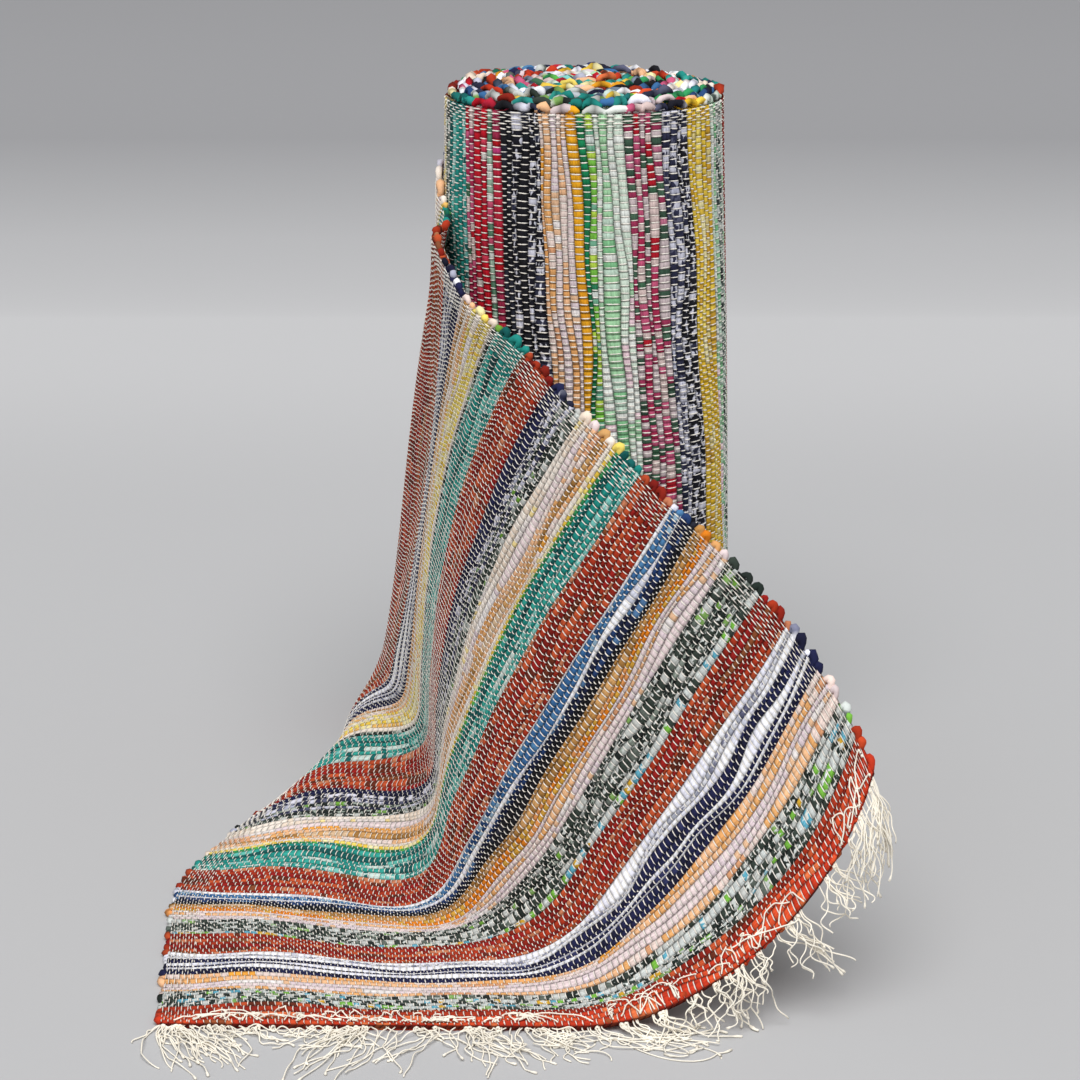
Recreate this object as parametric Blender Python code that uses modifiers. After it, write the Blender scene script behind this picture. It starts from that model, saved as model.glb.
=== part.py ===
"""A rag rug, rolled up and stood on end, with its loose end draped round it down to the floor.

The origin is the centre of the roll's foot, on the floor. +Z is up, and the hem of the loose end faces -Y.
Sizes are in metres and angles in degrees. Azimuths run from +X towards +Y.
"""

import math

import bmesh
import bpy
import numpy as np

# The cloth.
RUG_WIDTH = 0.70  # from selvedge to selvedge, so also the height of the roll
CLOTH = 0.006  # thickness of the weave
LOOSE_LENGTH = 1.20  # from the hem to where the cloth parts from the roll
PIECE_GAP = 0.0003  # between pieces that touch
HEM_GAP = 0.0005  # between the hem and the strip that holds the fringe
DRAPE_GAP = 0.0020  # between the roll and the cloth that leans on it

# The roll, which is a little narrower at its top.
FOOT_RADIUS = 0.154
TOP_RADIUS = 0.136
PARTING_AZIMUTH = 50.0  # where the loose end leaves the roll, at the floor
ROLL_TWIST = 18.0  # how far round the wefts have turned by the top
RIM_DROP = 0.012  # how much lower the outermost turn stands than the middle
TURN_BUNDLE = 0.020  # the end shows bundles of turns this wide
BUNDLE_RELIEF = 0.004  # depth of the groove between two bundles
ROLL_BULGE = 0.0012  # uneven winding
BULGE_LOBES = 3.0  # bulges in one turn
BULGE_LEAN = 9.0  # radians that they shift for each metre of height
TURN_MIDDLE = 0.6  # how far round the outer turn the taper's radius is exact
STEP_REACH = 350.0  # turned further than this, the loose end lies beyond the step, on the turn below
ROLL_SIDES = 48
ROLL_LEVELS = 6

# The loose end. Each weft line starts at the lower selvedge and is walked across the rug to the upper one:
# over the turned-down edge, along the foot, round the bend at its end, then up the wall to the top. A heading
# is the azimuth it runs towards, a rise is its angle over the floor.
ROW_PITCH = 0.15
EDGE_RUN = 0.09  # the turned-down edge
ROW_COLUMNS = (
    "foot_x", "foot_y", "edge_rise", "foot_rise", "foot_heading", "foot_run", "bend_run",
    "wall_heading", "wall_rise", "top_heading", "top_rise",
)
ROWS_FROM_HEM = (
    (-0.361, -0.678, 0, 0, -1, 0.326, 0.150, 14, 29, 30, 71),
    (-0.371, -0.530, 0, 0, -4, 0.256, 0.150, -1, 55, 3, 61),
    (-0.376, -0.382, 0, 0, -7, 0.159, 0.150, -44, 64, 0, 58),
    (-0.328, -0.218, 30, 5, -7, 0.118, 0.150, -81, 68, -34, 55),
    (-0.254, -0.060, 82, 3, -14, 0.057, 0.130, -80, 71, -70, 48),
    (-0.239, 0.088, 80, 2, -15, 0.009, 0.104, -62, 64, -89, 64),
    (-0.178, 0.220, 91, 34, -69, 0.014, 0.086, -88, 73, -74, 56),
    (-0.014, 0.224, 64, 10, -102, 0.056, 0.049, -105, 93, -143, 73),
    (0.112, 0.139, 68, 80, -95, 0.067, 0.051, -145, 91, -205, 82),
)
JOINING_LENGTH = 0.15  # the last stretch, which settles onto the roll
LENGTH_SEGMENTS = 40
CLOSER_AT_ROLL = 0.2  # how much shorter the segments grow where the cloth curves round the roll
SHORTEST_RUN = 0.005
FOOT_SEGMENTS = 10  # across the rug, on the foot, round the bend and up the wall
BEND_SEGMENTS = 8
WALL_SEGMENTS = 18
LEAST_FOOT_RUN = 0.09  # nearer the roll, the segments stay at least this far out
LEAST_BEND_RUN = 0.07
MOST_BEND_RUN = 0.20
SAG_SHARE = 0.09  # the upper selvedge sinks by this share of its height where the cloth comes off the roll
SAG_MIDDLE = 0.84  # its distance from the hem there
SAG_REACH = 0.42  # and how far to each side the sag goes

# The fringe: warp ends in locks, their roots fused into a narrow strip along the hem.
LIFT_OFF = 0.33  # along the hem, from the lower selvedge to where it rises from the floor
STRIP_WIDTH = 0.004
STRIP_THICKNESS = 0.003
LOCK_WIDTH = 0.0026
LOCK_HEIGHT = 0.0018
TIP_SCALE = 0.6
FLOOR_LOCKS = 48
FLOOR_LOCK_STEPS = 4
RAISED_LOCKS = 44
RAISED_LOCK_STEPS = 6
LOCK_LENGTH = 0.088
LENGTH_SPREAD = 0.022  # how much longer or shorter a lock may be
LOCK_SWAY = 0.0035
FALL_RUN = 0.030  # a hanging lock has turned down after this length
LENGTH_BEATS = (2.4, 0.7)  # radians from one lock to the next, in its length
SWAY_BEAT = 0.45  # and in its sway
LEVEL = 0.2  # a lock whose direction rises less than this is level, and keeps its section upright

COLOURS = {
    "rug_roll": (0.42, 0.33, 0.30),
    "rug_loose_end": (0.43, 0.10, 0.05),
    "fringe_floor": (0.75, 0.68, 0.54),
    "fringe_raised": (0.75, 0.68, 0.54),
}
CLOTH_ROUGHNESS = 0.92
SHARP_ANGLE = 40.0
WELD = 0.00001


def clear_scene():
    for item in list(bpy.data.objects):
        bpy.data.objects.remove(item, do_unlink=True)


def new_collection(name):
    collection = bpy.data.collections.new(name)
    bpy.context.scene.collection.children.link(collection)
    return collection


def cloth_material(name):
    material = bpy.data.materials.new(name)
    material.use_nodes = True
    shader = material.node_tree.nodes["Principled BSDF"]
    shader.inputs["Base Color"].default_value = (*COLOURS[name], 1.0)
    shader.inputs["Roughness"].default_value = CLOTH_ROUGHNESS
    shader.inputs["Metallic"].default_value = 0.0
    return material


def add_object(name, mesh, collection):
    mesh.materials.append(cloth_material(name))
    mesh.shade_smooth()
    mesh.set_sharp_from_angle(angle=math.radians(SHARP_ANGLE))
    piece = bpy.data.objects.new(name, mesh)
    collection.objects.link(piece)
    return piece


def mesh_from(name, points, faces):
    """A mesh with coincident points welded and its faces pointing out."""
    shape = bmesh.new()
    corners = [shape.verts.new(point) for point in points]
    for face in faces:
        shape.faces.new([corners[index] for index in face])
    bmesh.ops.remove_doubles(shape, verts=shape.verts, dist=WELD)
    bmesh.ops.recalc_face_normals(shape, faces=shape.faces)
    mesh = bpy.data.meshes.new(name)
    shape.to_mesh(mesh)
    shape.free()
    return mesh


def ease(x):
    """A smooth step from 0 to 1."""
    x = np.clip(x, 0.0, 1.0)
    return x * x * (3.0 - 2.0 * x)


# The roll.


def turned_from_parting(azimuth, height):
    """How far round from the parting line a point is, 0 to 360, in the sense in which the loose end runs."""
    return (azimuth - PARTING_AZIMUTH + ROLL_TWIST * np.clip(height / RUG_WIDTH, 0.0, 1.0)) % 360.0


def roll_radius(turned, height):
    """The wound surface: a taper, a spiral that is one cloth thinner after each turn, and a slight bulge."""
    taper = FOOT_RADIUS + (TOP_RADIUS - FOOT_RADIUS) * np.clip(height / RUG_WIDTH, 0.0, 1.0)
    winding = CLOTH * (turned / 360.0 - TURN_MIDDLE)
    lobes = np.sin(np.radians(BULGE_LOBES * turned) + BULGE_LEAN * height)
    bulge = ROLL_BULGE * lobes * np.sin(np.radians(turned / 2.0))
    return taper + winding + bulge


def roll_point(turned, height, radius, z):
    azimuth = np.radians(PARTING_AZIMUTH - ROLL_TWIST * height / RUG_WIDTH + turned)
    return (radius * np.cos(azimuth), radius * np.sin(azimuth), z)


def end_height(radius, relief):
    """The upper end of the roll is a low dome, from rim up to middle, with grooves between bundles."""
    share = radius / TOP_RADIUS
    return RUG_WIDTH - RIM_DROP * share ** 3 - BUNDLE_RELIEF * relief


def make_roll(collection):
    """The wall, a flat foot, and an upper end where one groove winds from the parting line to the middle."""
    sides = ROLL_SIDES
    columns = np.linspace(360.0, 0.0, sides + 1)  # from the thick side of the step round to its thin side
    rim_height = RUG_WIDTH - RIM_DROP
    points = []
    faces = []
    for level in range(ROLL_LEVELS + 1):
        height = rim_height * level / ROLL_LEVELS
        for turned in columns:
            points.append(roll_point(turned, height, roll_radius(turned, height), height))
    row = sides + 1
    for level in range(ROLL_LEVELS):
        for side in range(sides):
            start = level * row + side
            faces.append((start, start + 1, start + row + 1, start + row))
        thick = level * row
        faces.append((thick + sides, thick, thick + row, thick + row + sides))

    # The end: the rim is the groove's own first turn, so each later turn lies one bundle further in.
    rim_radii = roll_radius(columns, rim_height)
    inner_start = rim_radii[-1]
    turns = int(inner_start / TURN_BUNDLE)
    groove = [(ROLL_LEVELS * row + side, rim_radii[side], columns[side]) for side in range(sides)]
    for step in range(sides * turns + 1):
        turned = columns[step % sides] if step % sides else 360.0
        radius = inner_start - TURN_BUNDLE * step / sides
        if step == 0:
            groove.append((ROLL_LEVELS * row + sides, inner_start, 360.0))
            continue
        groove.append((len(points), radius, turned))
        depth = ease(step / sides)
        points.append(roll_point(turned, rim_height, radius, end_height(radius, depth)))
    crest = []
    for step in range(len(groove) - sides):
        outer, inner = groove[step], groove[step + sides]
        radius = (outer[1] + inner[1]) / 2.0
        if step == 0:
            crest.append(outer[0])
            continue
        crest.append(len(points))
        points.append(roll_point(outer[2], rim_height, radius, end_height(radius, 0.0)))
    for step in range(len(crest) - 1):
        outer = groove[step][0]
        ridge = crest[step]
        inner = groove[step + sides][0]
        outer_next = groove[step + 1][0]
        ridge_next = crest[step + 1]
        inner_next = groove[step + sides + 1][0]
        if ridge == outer:
            faces.append((outer, outer_next, ridge_next))
        else:
            faces.append((outer, outer_next, ridge_next, ridge))
        faces.append((ridge, ridge_next, inner_next, inner))
    middle = len(points)
    points.append((0.0, 0.0, RUG_WIDTH))
    last_turn = [entry[0] for entry in groove[-sides - 1:]]
    faces.extend((last_turn[side], last_turn[side + 1], middle) for side in range(sides))
    faces.append((last_turn[-1], crest[-1], middle))
    faces.append((crest[-1], last_turn[0], middle))

    floor_middle = len(points)
    points.append((0.0, 0.0, 0.0))
    faces.extend((side + 1, side, floor_middle) for side in range(sides))
    faces.append((0, sides, floor_middle))
    return add_object("rug_roll", mesh_from("rug_roll", points, faces), collection)


# The loose end.


def rows_at(from_hem):
    """The table's columns at any distance from the hem, on a smooth curve through its rows."""
    rows = np.array(ROWS_FROM_HEM, float)
    ends = np.vstack([2 * rows[0] - rows[1], rows, 2 * rows[-1] - rows[-2]])
    place = np.clip(from_hem / ROW_PITCH, 0.0, len(rows) - 1 - 1e-9)
    index = place.astype(int)
    share = (place - index)[:, None]
    before, here, after, beyond = (ends[index + offset] for offset in range(4))
    bend = 2 * before - 5 * here + 4 * after - beyond
    twist = 3 * here - before - 3 * after + beyond
    values = 0.5 * (2 * here + (after - before) * share + bend * share ** 2 + twist * share ** 3)
    return {name: values[:, column][:, None] for column, name in enumerate(ROW_COLUMNS)}


def places_across(row):
    """Where the points of each weft line lie along it: closest where the cloth bends up from the floor."""
    foot_end = np.maximum(row["foot_run"], LEAST_FOOT_RUN)
    bend_end = foot_end + np.clip(row["bend_run"], LEAST_BEND_RUN, MOST_BEND_RUN)
    foot = foot_end * np.linspace(0.0, 1.0, FOOT_SEGMENTS + 1)[:-1]
    bend = foot_end + (bend_end - foot_end) * np.linspace(0.0, 1.0, BEND_SEGMENTS + 1)[:-1]
    wall = bend_end + (RUG_WIDTH - bend_end) * np.linspace(0.0, 1.0, WALL_SEGMENTS + 1)
    return np.concatenate([foot, bend, wall], axis=1)


def walk_wefts(row, across):
    """Each weft line walked from its foot: its rise and heading turn along it, and its length stays true."""
    foot_run = np.maximum(row["foot_run"], SHORTEST_RUN)
    bend_run = np.maximum(row["bend_run"], 2 * SHORTEST_RUN)
    edge_rise = np.maximum(row["edge_rise"], 0.0)
    foot_rise = np.maximum(row["foot_rise"], 0.0)
    over_edge = ease(across / EDGE_RUN)
    round_bend = ease((across - foot_run) / bend_run)
    up_wall = np.clip((across - foot_run - bend_run) / (RUG_WIDTH - foot_run - bend_run), 0.0, 1.0)
    rise = (edge_rise + (foot_rise - edge_rise) * over_edge + (row["wall_rise"] - foot_rise) * round_bend
            + (row["top_rise"] - row["wall_rise"]) * up_wall)
    heading = (row["foot_heading"] + (row["wall_heading"] - row["foot_heading"]) * round_bend
               + (row["top_heading"] - row["wall_heading"]) * up_wall)
    rise = np.radians(rise)
    heading = np.radians(heading)
    steps = np.stack([np.cos(rise) * np.cos(heading), np.cos(rise) * np.sin(heading), np.sin(rise)], axis=-1)
    lengths = np.diff(across, axis=1)[..., None]
    walked = np.cumsum((steps[:, 1:] + steps[:, :-1]) / 2.0 * lengths, axis=1)
    points = np.concatenate([np.zeros_like(walked[:, :1]), walked], axis=1)
    points[..., 0] += row["foot_x"]
    points[..., 1] += row["foot_y"]
    return points


def sag(points, from_hem):
    """The cloth sinks where it is held up least, and keeps its plan."""
    away = np.clip((from_hem - SAG_MIDDLE) / SAG_REACH, -1.0, 1.0)
    share = 1.0 - SAG_SHARE * np.cos(np.pi / 2.0 * away) ** 2
    return points * np.stack([np.ones_like(share), np.ones_like(share), share], axis=-1)[:, None]


def join_roll(points, from_hem, across):
    """The last stretch settles onto the roll and ends a hair's breadth from the step in its outer turn."""
    weight = ease((from_hem - LOOSE_LENGTH + JOINING_LENGTH) / JOINING_LENGTH)[:, None, None]
    height = across * (RUG_WIDTH - RIM_DROP) / RUG_WIDTH
    ahead = (LOOSE_LENGTH - from_hem + 2 * PIECE_GAP)[:, None]
    turned = np.degrees(ahead / (FOOT_RADIUS + (TOP_RADIUS - FOOT_RADIUS) * height / RUG_WIDTH))
    x, y, z = roll_point(turned, height, roll_radius(turned, height) + DRAPE_GAP, height)
    return points * (1.0 - weight) + np.stack([x, y, z], axis=-1) * weight


def keep_off_roll(points):
    """Where a weft line would pass inside the roll, it lies on the roll instead."""
    x, y, z = points[..., 0], points[..., 1], points[..., 2]
    turned = turned_from_parting(np.degrees(np.arctan2(y, x)), z)
    turned = np.where(turned > STEP_REACH, 0.0, turned)
    clear = roll_radius(turned, z) + DRAPE_GAP
    share = np.maximum(1.0, clear / np.hypot(x, y))
    return np.stack([x * share, y * share, z], axis=-1)


def sheet_grid():
    """The back face of the loose end, as a grid of points: rows from the hem, columns across the rug."""
    share = np.linspace(0.0, 1.0, LENGTH_SEGMENTS + 1)
    from_hem = LOOSE_LENGTH * share * (1.0 + CLOSER_AT_ROLL * (1.0 - share))
    row = rows_at(from_hem)
    across = places_across(row)
    points = walk_wefts(row, across)
    points = sag(points, from_hem)
    points = join_roll(points, from_hem, across)
    points = keep_off_roll(points)
    points[..., 2] = np.maximum(points[..., 2], 0.0)
    return across[0], points


def make_loose_end(collection, points):
    rows, columns = points.shape[:2]
    index = np.arange(rows * columns).reshape(rows, columns)
    corners = (index[:-1, :-1], index[:-1, 1:], index[1:, 1:], index[1:, :-1])
    faces = np.stack(corners, axis=-1).reshape(-1, 4)
    mesh = bpy.data.meshes.new("rug_loose_end")
    mesh.from_pydata(points.reshape(-1, 3).tolist(), [], faces.tolist())
    piece = add_object("rug_loose_end", mesh, collection)
    thickness = piece.modifiers.new("Cloth", "SOLIDIFY")
    thickness.thickness = CLOTH
    thickness.offset = 1.0
    thickness.use_even_offset = True
    thickness.use_quality_normals = True
    return piece


# The fringe.


def hem_frames(across, points, places):
    """At each place along the hem: its point on the back edge, the way out, and the cloth's face side."""
    edge = points[0]
    outward = points[0] - points[1]
    outward /= np.linalg.norm(outward, axis=1)[:, None]
    along = np.gradient(edge, axis=0)
    face = np.cross(outward, along)
    face /= np.linalg.norm(face, axis=1)[:, None]
    spread = [np.stack([np.interp(places, across, values[:, axis]) for axis in range(3)], axis=1)
              for values in (edge, outward, face)]
    return spread


def lock_path(root, outward, face, number, steps, on_floor):
    """The middle points of one lock: out of the hem, down under its weight, and level along the floor."""
    fast_beat, slow_beat = LENGTH_BEATS
    length = LOCK_LENGTH + LENGTH_SPREAD * math.sin(fast_beat * number) * math.cos(slow_beat * number)
    sway = LOCK_SWAY * math.sin(SWAY_BEAT * number)
    ahead = np.array([outward[0], outward[1], 0.0])
    ahead /= np.linalg.norm(ahead)
    sideways = np.array([-ahead[1], ahead[0], 0.0])
    floor = LOCK_HEIGHT / 2.0
    points = []
    place = np.array(root)
    for step in range(1, steps + 1):
        walked = length * step / steps
        fall = 0.0 if on_floor else float(ease(walked / FALL_RUN))
        direction = outward * (1.0 - fall) + np.array([0.0, 0.0, -1.0]) * fall
        if on_floor or place[2] <= floor + 0.0001:
            direction = ahead
        direction = direction / np.linalg.norm(direction)
        aside = sideways * sway * math.sin(math.pi * step / steps)
        place = place + (direction * length + aside) / steps
        if place[2] < floor or on_floor:
            place[2] = floor
        points.append(place.copy())
    return points


def grow_lock(shape, root_face, path, side):
    """Extrudes a root face along a path. The section stays across the path, and narrows to the tip."""
    before = np.array(root_face.calc_center_median())
    face = root_face
    for step, centre in enumerate(path, start=1):
        forward = centre - before
        forward = forward / np.linalg.norm(forward)
        up = np.cross(forward, side)
        up = up / np.linalg.norm(up)
        level = abs(forward[2]) < LEVEL
        if level:
            up = np.array([0.0, 0.0, 1.0])
        across = np.cross(up, forward)
        across = across / np.linalg.norm(across)
        scale = 1.0 - (1.0 - TIP_SCALE) * step / len(path)
        height = LOCK_HEIGHT if level else LOCK_HEIGHT * scale
        face = bmesh.ops.extrude_discrete_faces(shape, faces=[face])["faces"][0]
        corners = ((-1, -1), (1, -1), (1, 1), (-1, 1))
        for corner, (right, above) in zip(face.verts, corners):
            corner.co = centre + across * right * LOCK_WIDTH * scale / 2.0 + up * above * height / 2.0
        before = centre


def make_fringe(name, collection, across, points, places, steps, on_floor):
    """A backing strip just outside the hem, with a lock grown from it at each place."""
    half = LOCK_WIDTH / 2.0
    stations = np.sort(np.concatenate([places - half, places + half]))
    edge, outward, face = hem_frames(across, points, stations)
    shape = bmesh.new()
    rings = []
    for station in range(len(stations)):
        inner = edge[station] + outward[station] * HEM_GAP
        outer = inner + outward[station] * STRIP_WIDTH
        rise = face[station] * STRIP_THICKNESS
        rings.append([shape.verts.new(corner) for corner in (inner, outer, outer + rise, inner + rise)])
    for start, end in zip(rings[:-1], rings[1:]):
        for corner in range(4):
            following = (corner + 1) % 4
            shape.faces.new((start[corner], end[corner], end[following], start[following]))
    shape.faces.new(rings[0][::-1])
    shape.faces.new(rings[-1])
    bmesh.ops.recalc_face_normals(shape, faces=shape.faces)
    for number in range(len(places)):
        near, far = rings[2 * number], rings[2 * number + 1]
        outer_corners = {near[1], near[2], far[1], far[2]}
        root = next(item for item in near[1].link_faces if outer_corners == set(item.verts))
        middle = np.array(root.calc_center_median())
        ordered = (near[1], far[1], far[2], near[2])
        shape.faces.remove(root)
        root = shape.faces.new(ordered)
        root.normal_update()
        side = np.array(far[1].co - near[1].co)
        side = side / np.linalg.norm(side)
        path = lock_path(middle, outward[2 * number], face[2 * number], number, steps, on_floor)
        grow_lock(shape, root, path, side)
    for corner in shape.verts:
        corner.co.z = max(corner.co.z, 0.0)
    bmesh.ops.recalc_face_normals(shape, faces=shape.faces)
    mesh = bpy.data.meshes.new(name)
    shape.to_mesh(mesh)
    shape.free()
    return add_object(name, mesh, collection)


def lock_places(across, points, start, end, count):
    """Places along the hem whose spacing is even when seen from above, so hanging locks don't meet."""
    edge = points[0]
    plan = np.concatenate([[0.0], np.cumsum(np.hypot(*np.diff(edge[:, :2], axis=0).T))])
    first, last = np.interp([start, end], across, plan)
    return np.interp(np.linspace(first, last, count), plan, across)


def build():
    clear_scene()
    rug = new_collection("RagRug")
    make_roll(rug)
    across, points = sheet_grid()
    make_loose_end(rug, points)
    margin = LOCK_WIDTH
    floor_places = lock_places(across, points, margin, LIFT_OFF - margin, FLOOR_LOCKS)
    make_fringe("fringe_floor", rug, across, points, floor_places, FLOOR_LOCK_STEPS, True)
    raised_places = lock_places(across, points, LIFT_OFF + margin, RUG_WIDTH - margin, RAISED_LOCKS)
    make_fringe("fringe_raised", rug, across, points, raised_places, RAISED_LOCK_STEPS, False)


build()
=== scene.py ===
import math

import bpy
import numpy as np
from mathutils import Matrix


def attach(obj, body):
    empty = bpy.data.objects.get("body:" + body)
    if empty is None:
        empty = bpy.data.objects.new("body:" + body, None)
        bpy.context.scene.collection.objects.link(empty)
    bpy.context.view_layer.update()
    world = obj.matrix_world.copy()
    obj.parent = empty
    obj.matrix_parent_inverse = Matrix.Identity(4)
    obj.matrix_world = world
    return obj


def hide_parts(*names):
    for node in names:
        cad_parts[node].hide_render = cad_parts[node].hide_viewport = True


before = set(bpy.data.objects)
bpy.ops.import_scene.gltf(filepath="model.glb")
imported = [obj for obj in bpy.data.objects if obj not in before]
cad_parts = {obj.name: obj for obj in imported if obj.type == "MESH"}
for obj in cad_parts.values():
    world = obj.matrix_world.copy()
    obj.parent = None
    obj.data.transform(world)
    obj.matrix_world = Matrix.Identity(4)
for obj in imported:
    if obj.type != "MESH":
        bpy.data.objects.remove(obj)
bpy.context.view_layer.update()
print("frame loaded")

# Lengths are in metres and angles in degrees. The rug stands on end at the origin, and its hem faces -Y.
rug = {
    "width": 0.70,
    "cloth": 0.006,
    "looseLength": 1.20,
    "pieceGap": 0.0003,
    "drapeGap": 0.002,
    "footRadius": 0.154,
    "topRadius": 0.136,
    "partingAzimuth": 50.0,
    "rollTwist": 18.0,
    "rimDrop": 0.012,
    "rollBulge": 0.0012,
    "bulgeLobes": 3.0,
    "bulgeLean": 9.0,
    "turnMiddle": 0.6,
    "stepReach": 350.0,
}


def easeStep(x):  # x squared times (3 - 2x), kept between 0 and 1
    x = np.clip(x, 0.0, 1.0)
    return x * x * (3.0 - 2.0 * x)


# An ease up over the first length, and one down over the third before the second.
def growAndFade(x, lengths):
    grow, end, fade = lengths
    return easeStep(x / grow) * easeStep((end - x) / fade)


def unit(vectors):  # each vector divided by its length
    return vectors / np.maximum(np.linalg.norm(vectors, axis=-1), 1e-9)[..., None]


def either(random, size, shape):  # random values from minus the size to plus the size
    return random.uniform(-size, size, shape)


def rollRadius(turned, height):  # taper, less one cloth after each turn, and a slight bulge
    rise = np.clip(height / rug["width"], 0.0, 1.0)
    taper = rug["footRadius"] + (rug["topRadius"] - rug["footRadius"]) * rise
    winding = rug["cloth"] * (turned / 360.0 - rug["turnMiddle"])
    lobes = np.sin(np.radians(rug["bulgeLobes"] * turned) + rug["bulgeLean"] * height)
    return taper + winding + rug["rollBulge"] * lobes * np.sin(np.radians(turned / 2.0))


# Plan place of a point that is so far round, at this height and radius.
def aroundRoll(turned, height, radius):
    azimuth = np.radians(rug["partingAzimuth"] - rug["rollTwist"] * height / rug["width"] + turned)
    return radius * np.cos(azimuth), radius * np.sin(azimuth)


# The draped end: one row every 0.15 m from the hem, each the walk of one weft line from the lower selvedge.
drape = {
    "rowPitch": 0.15,
    "edgeRun": 0.09,
    "columns": (
        "footX", "footY", "edgeRise", "footRise", "footHeading", "footRun", "bendRun",
        "wallHeading", "wallRise", "topHeading", "topRise",
    ),
    "rows": (
        (-0.361, -0.678, 0, 0, -1, 0.326, 0.150, 14, 29, 30, 71),
        (-0.371, -0.530, 0, 0, -4, 0.256, 0.150, -1, 55, 3, 61),
        (-0.376, -0.382, 0, 0, -7, 0.159, 0.150, -44, 64, 0, 58),
        (-0.328, -0.218, 30, 5, -7, 0.118, 0.150, -81, 68, -34, 55),
        (-0.254, -0.060, 82, 3, -14, 0.057, 0.130, -80, 71, -70, 48),
        (-0.239, 0.088, 80, 2, -15, 0.009, 0.104, -62, 64, -89, 64),
        (-0.178, 0.220, 91, 34, -69, 0.014, 0.086, -88, 73, -74, 56),
        (-0.014, 0.224, 64, 10, -102, 0.056, 0.049, -105, 93, -143, 73),
        (0.112, 0.139, 68, 80, -95, 0.067, 0.051, -145, 91, -205, 82),
    ),
    "joiningLength": 0.15,
    "sagShare": 0.09,
    "sagMiddle": 0.84,
    "sagReach": 0.42,
    "shortestRun": 0.005,
    "leastFootRun": 0.09,
    "leastBendRun": 0.07,
    "mostBendRun": 0.20,
    "lengthStep": 0.004,   # the fine grid that every piece on the drape is placed by
    "acrossStep": 0.0025,
}


def rowsAt(fromHem):  # the table's columns on a Catmull-Rom curve through its rows
    rows = np.array(drape["rows"], float)
    ends = np.vstack([2 * rows[0] - rows[1], rows, 2 * rows[-1] - rows[-2]])
    place = np.clip(fromHem / drape["rowPitch"], 0.0, len(rows) - 1 - 1e-9)
    index = place.astype(int)
    share = (place - index)[:, None]
    before, here, after, beyond = (ends[index + offset] for offset in range(4))
    bend = 2 * before - 5 * here + 4 * after - beyond
    twist = 3 * here - before - 3 * after + beyond
    values = 0.5 * (2 * here + (after - before) * share + bend * share ** 2 + twist * share ** 3)
    return {name: values[:, column][:, None] for column, name in enumerate(drape["columns"])}


# Rise and heading turn along each line, and small steps of true length are added up.
def walkWefts(row, across):
    footRun = np.maximum(row["footRun"], drape["shortestRun"])
    bendRun = np.maximum(row["bendRun"], 2 * drape["shortestRun"])
    edgeRise = np.maximum(row["edgeRise"], 0.0)
    footRise = np.maximum(row["footRise"], 0.0)
    roundBend = easeStep((across - footRun) / bendRun)
    upWall = np.clip((across - footRun - bendRun) / (rug["width"] - footRun - bendRun), 0.0, 1.0)
    rise = (edgeRise + (footRise - edgeRise) * easeStep(across / drape["edgeRun"])
            + (row["wallRise"] - footRise) * roundBend + (row["topRise"] - row["wallRise"]) * upWall)
    heading = (row["footHeading"] + (row["wallHeading"] - row["footHeading"]) * roundBend
               + (row["topHeading"] - row["wallHeading"]) * upWall)
    rise, heading = np.radians(rise), np.radians(heading)
    steps = np.stack([np.cos(rise) * np.cos(heading), np.cos(rise) * np.sin(heading), np.sin(rise)], axis=-1)
    walked = np.cumsum((steps[:, 1:] + steps[:, :-1]) / 2.0 * np.diff(across, axis=1)[..., None], axis=1)
    points = np.concatenate([np.zeros_like(walked[:, :1]), walked], axis=1)
    points[..., 0] += row["footX"]
    points[..., 1] += row["footY"]
    return points


# The back face of the draped end on a fine even grid, with its normals towards the face side.
def drapeGrid():
    fromHem = np.linspace(0.0, rug["looseLength"], round(rug["looseLength"] / drape["lengthStep"]) + 1)
    across = np.linspace(0.0, rug["width"], round(rug["width"] / drape["acrossStep"]) + 1)[None]
    points = walkWefts(rowsAt(fromHem), across)
    away = np.clip((fromHem - drape["sagMiddle"]) / drape["sagReach"], -1.0, 1.0)
    points[..., 2] *= (1.0 - drape["sagShare"] * np.cos(np.pi / 2.0 * away) ** 2)[:, None]
    # the last stretch settles onto the roll
    joining = drape["joiningLength"]
    weight = easeStep((fromHem - rug["looseLength"] + joining) / joining)[:, None, None]
    height = across * (rug["width"] - rug["rimDrop"]) / rug["width"]
    ahead = (rug["looseLength"] - fromHem + 2 * rug["pieceGap"])[:, None]
    middle = rug["footRadius"] + (rug["topRadius"] - rug["footRadius"]) * height / rug["width"]
    turned = np.degrees(ahead / middle)
    x, y = aroundRoll(turned, height, rollRadius(turned, height) + rug["drapeGap"])
    settled = np.stack([x, y, height * np.ones_like(x)], axis=-1)
    points = points * (1.0 - weight) + settled * weight
    # and no point lies inside the roll or the floor
    x, y, z = points[..., 0], points[..., 1], points[..., 2]
    lean = rug["rollTwist"] * np.clip(z / rug["width"], 0.0, 1.0)
    turned = (np.degrees(np.arctan2(y, x)) - rug["partingAzimuth"] + lean) % 360.0
    turned = np.where(turned > rug["stepReach"], 0.0, turned)
    share = np.maximum(1.0, (rollRadius(turned, z) + rug["drapeGap"]) / np.hypot(x, y))
    points = np.stack([x * share, y * share, np.maximum(z, 0.0)], axis=-1)
    return points, unit(np.cross(np.gradient(points, axis=1), np.gradient(points, axis=0)))


drapePoints, drapeNormals = drapeGrid()
acrossPlaces = np.linspace(0.0, 1.0, drapePoints.shape[1]) * rug["width"]
print("drape laid out", drapePoints.shape[0], drapePoints.shape[1])


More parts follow.
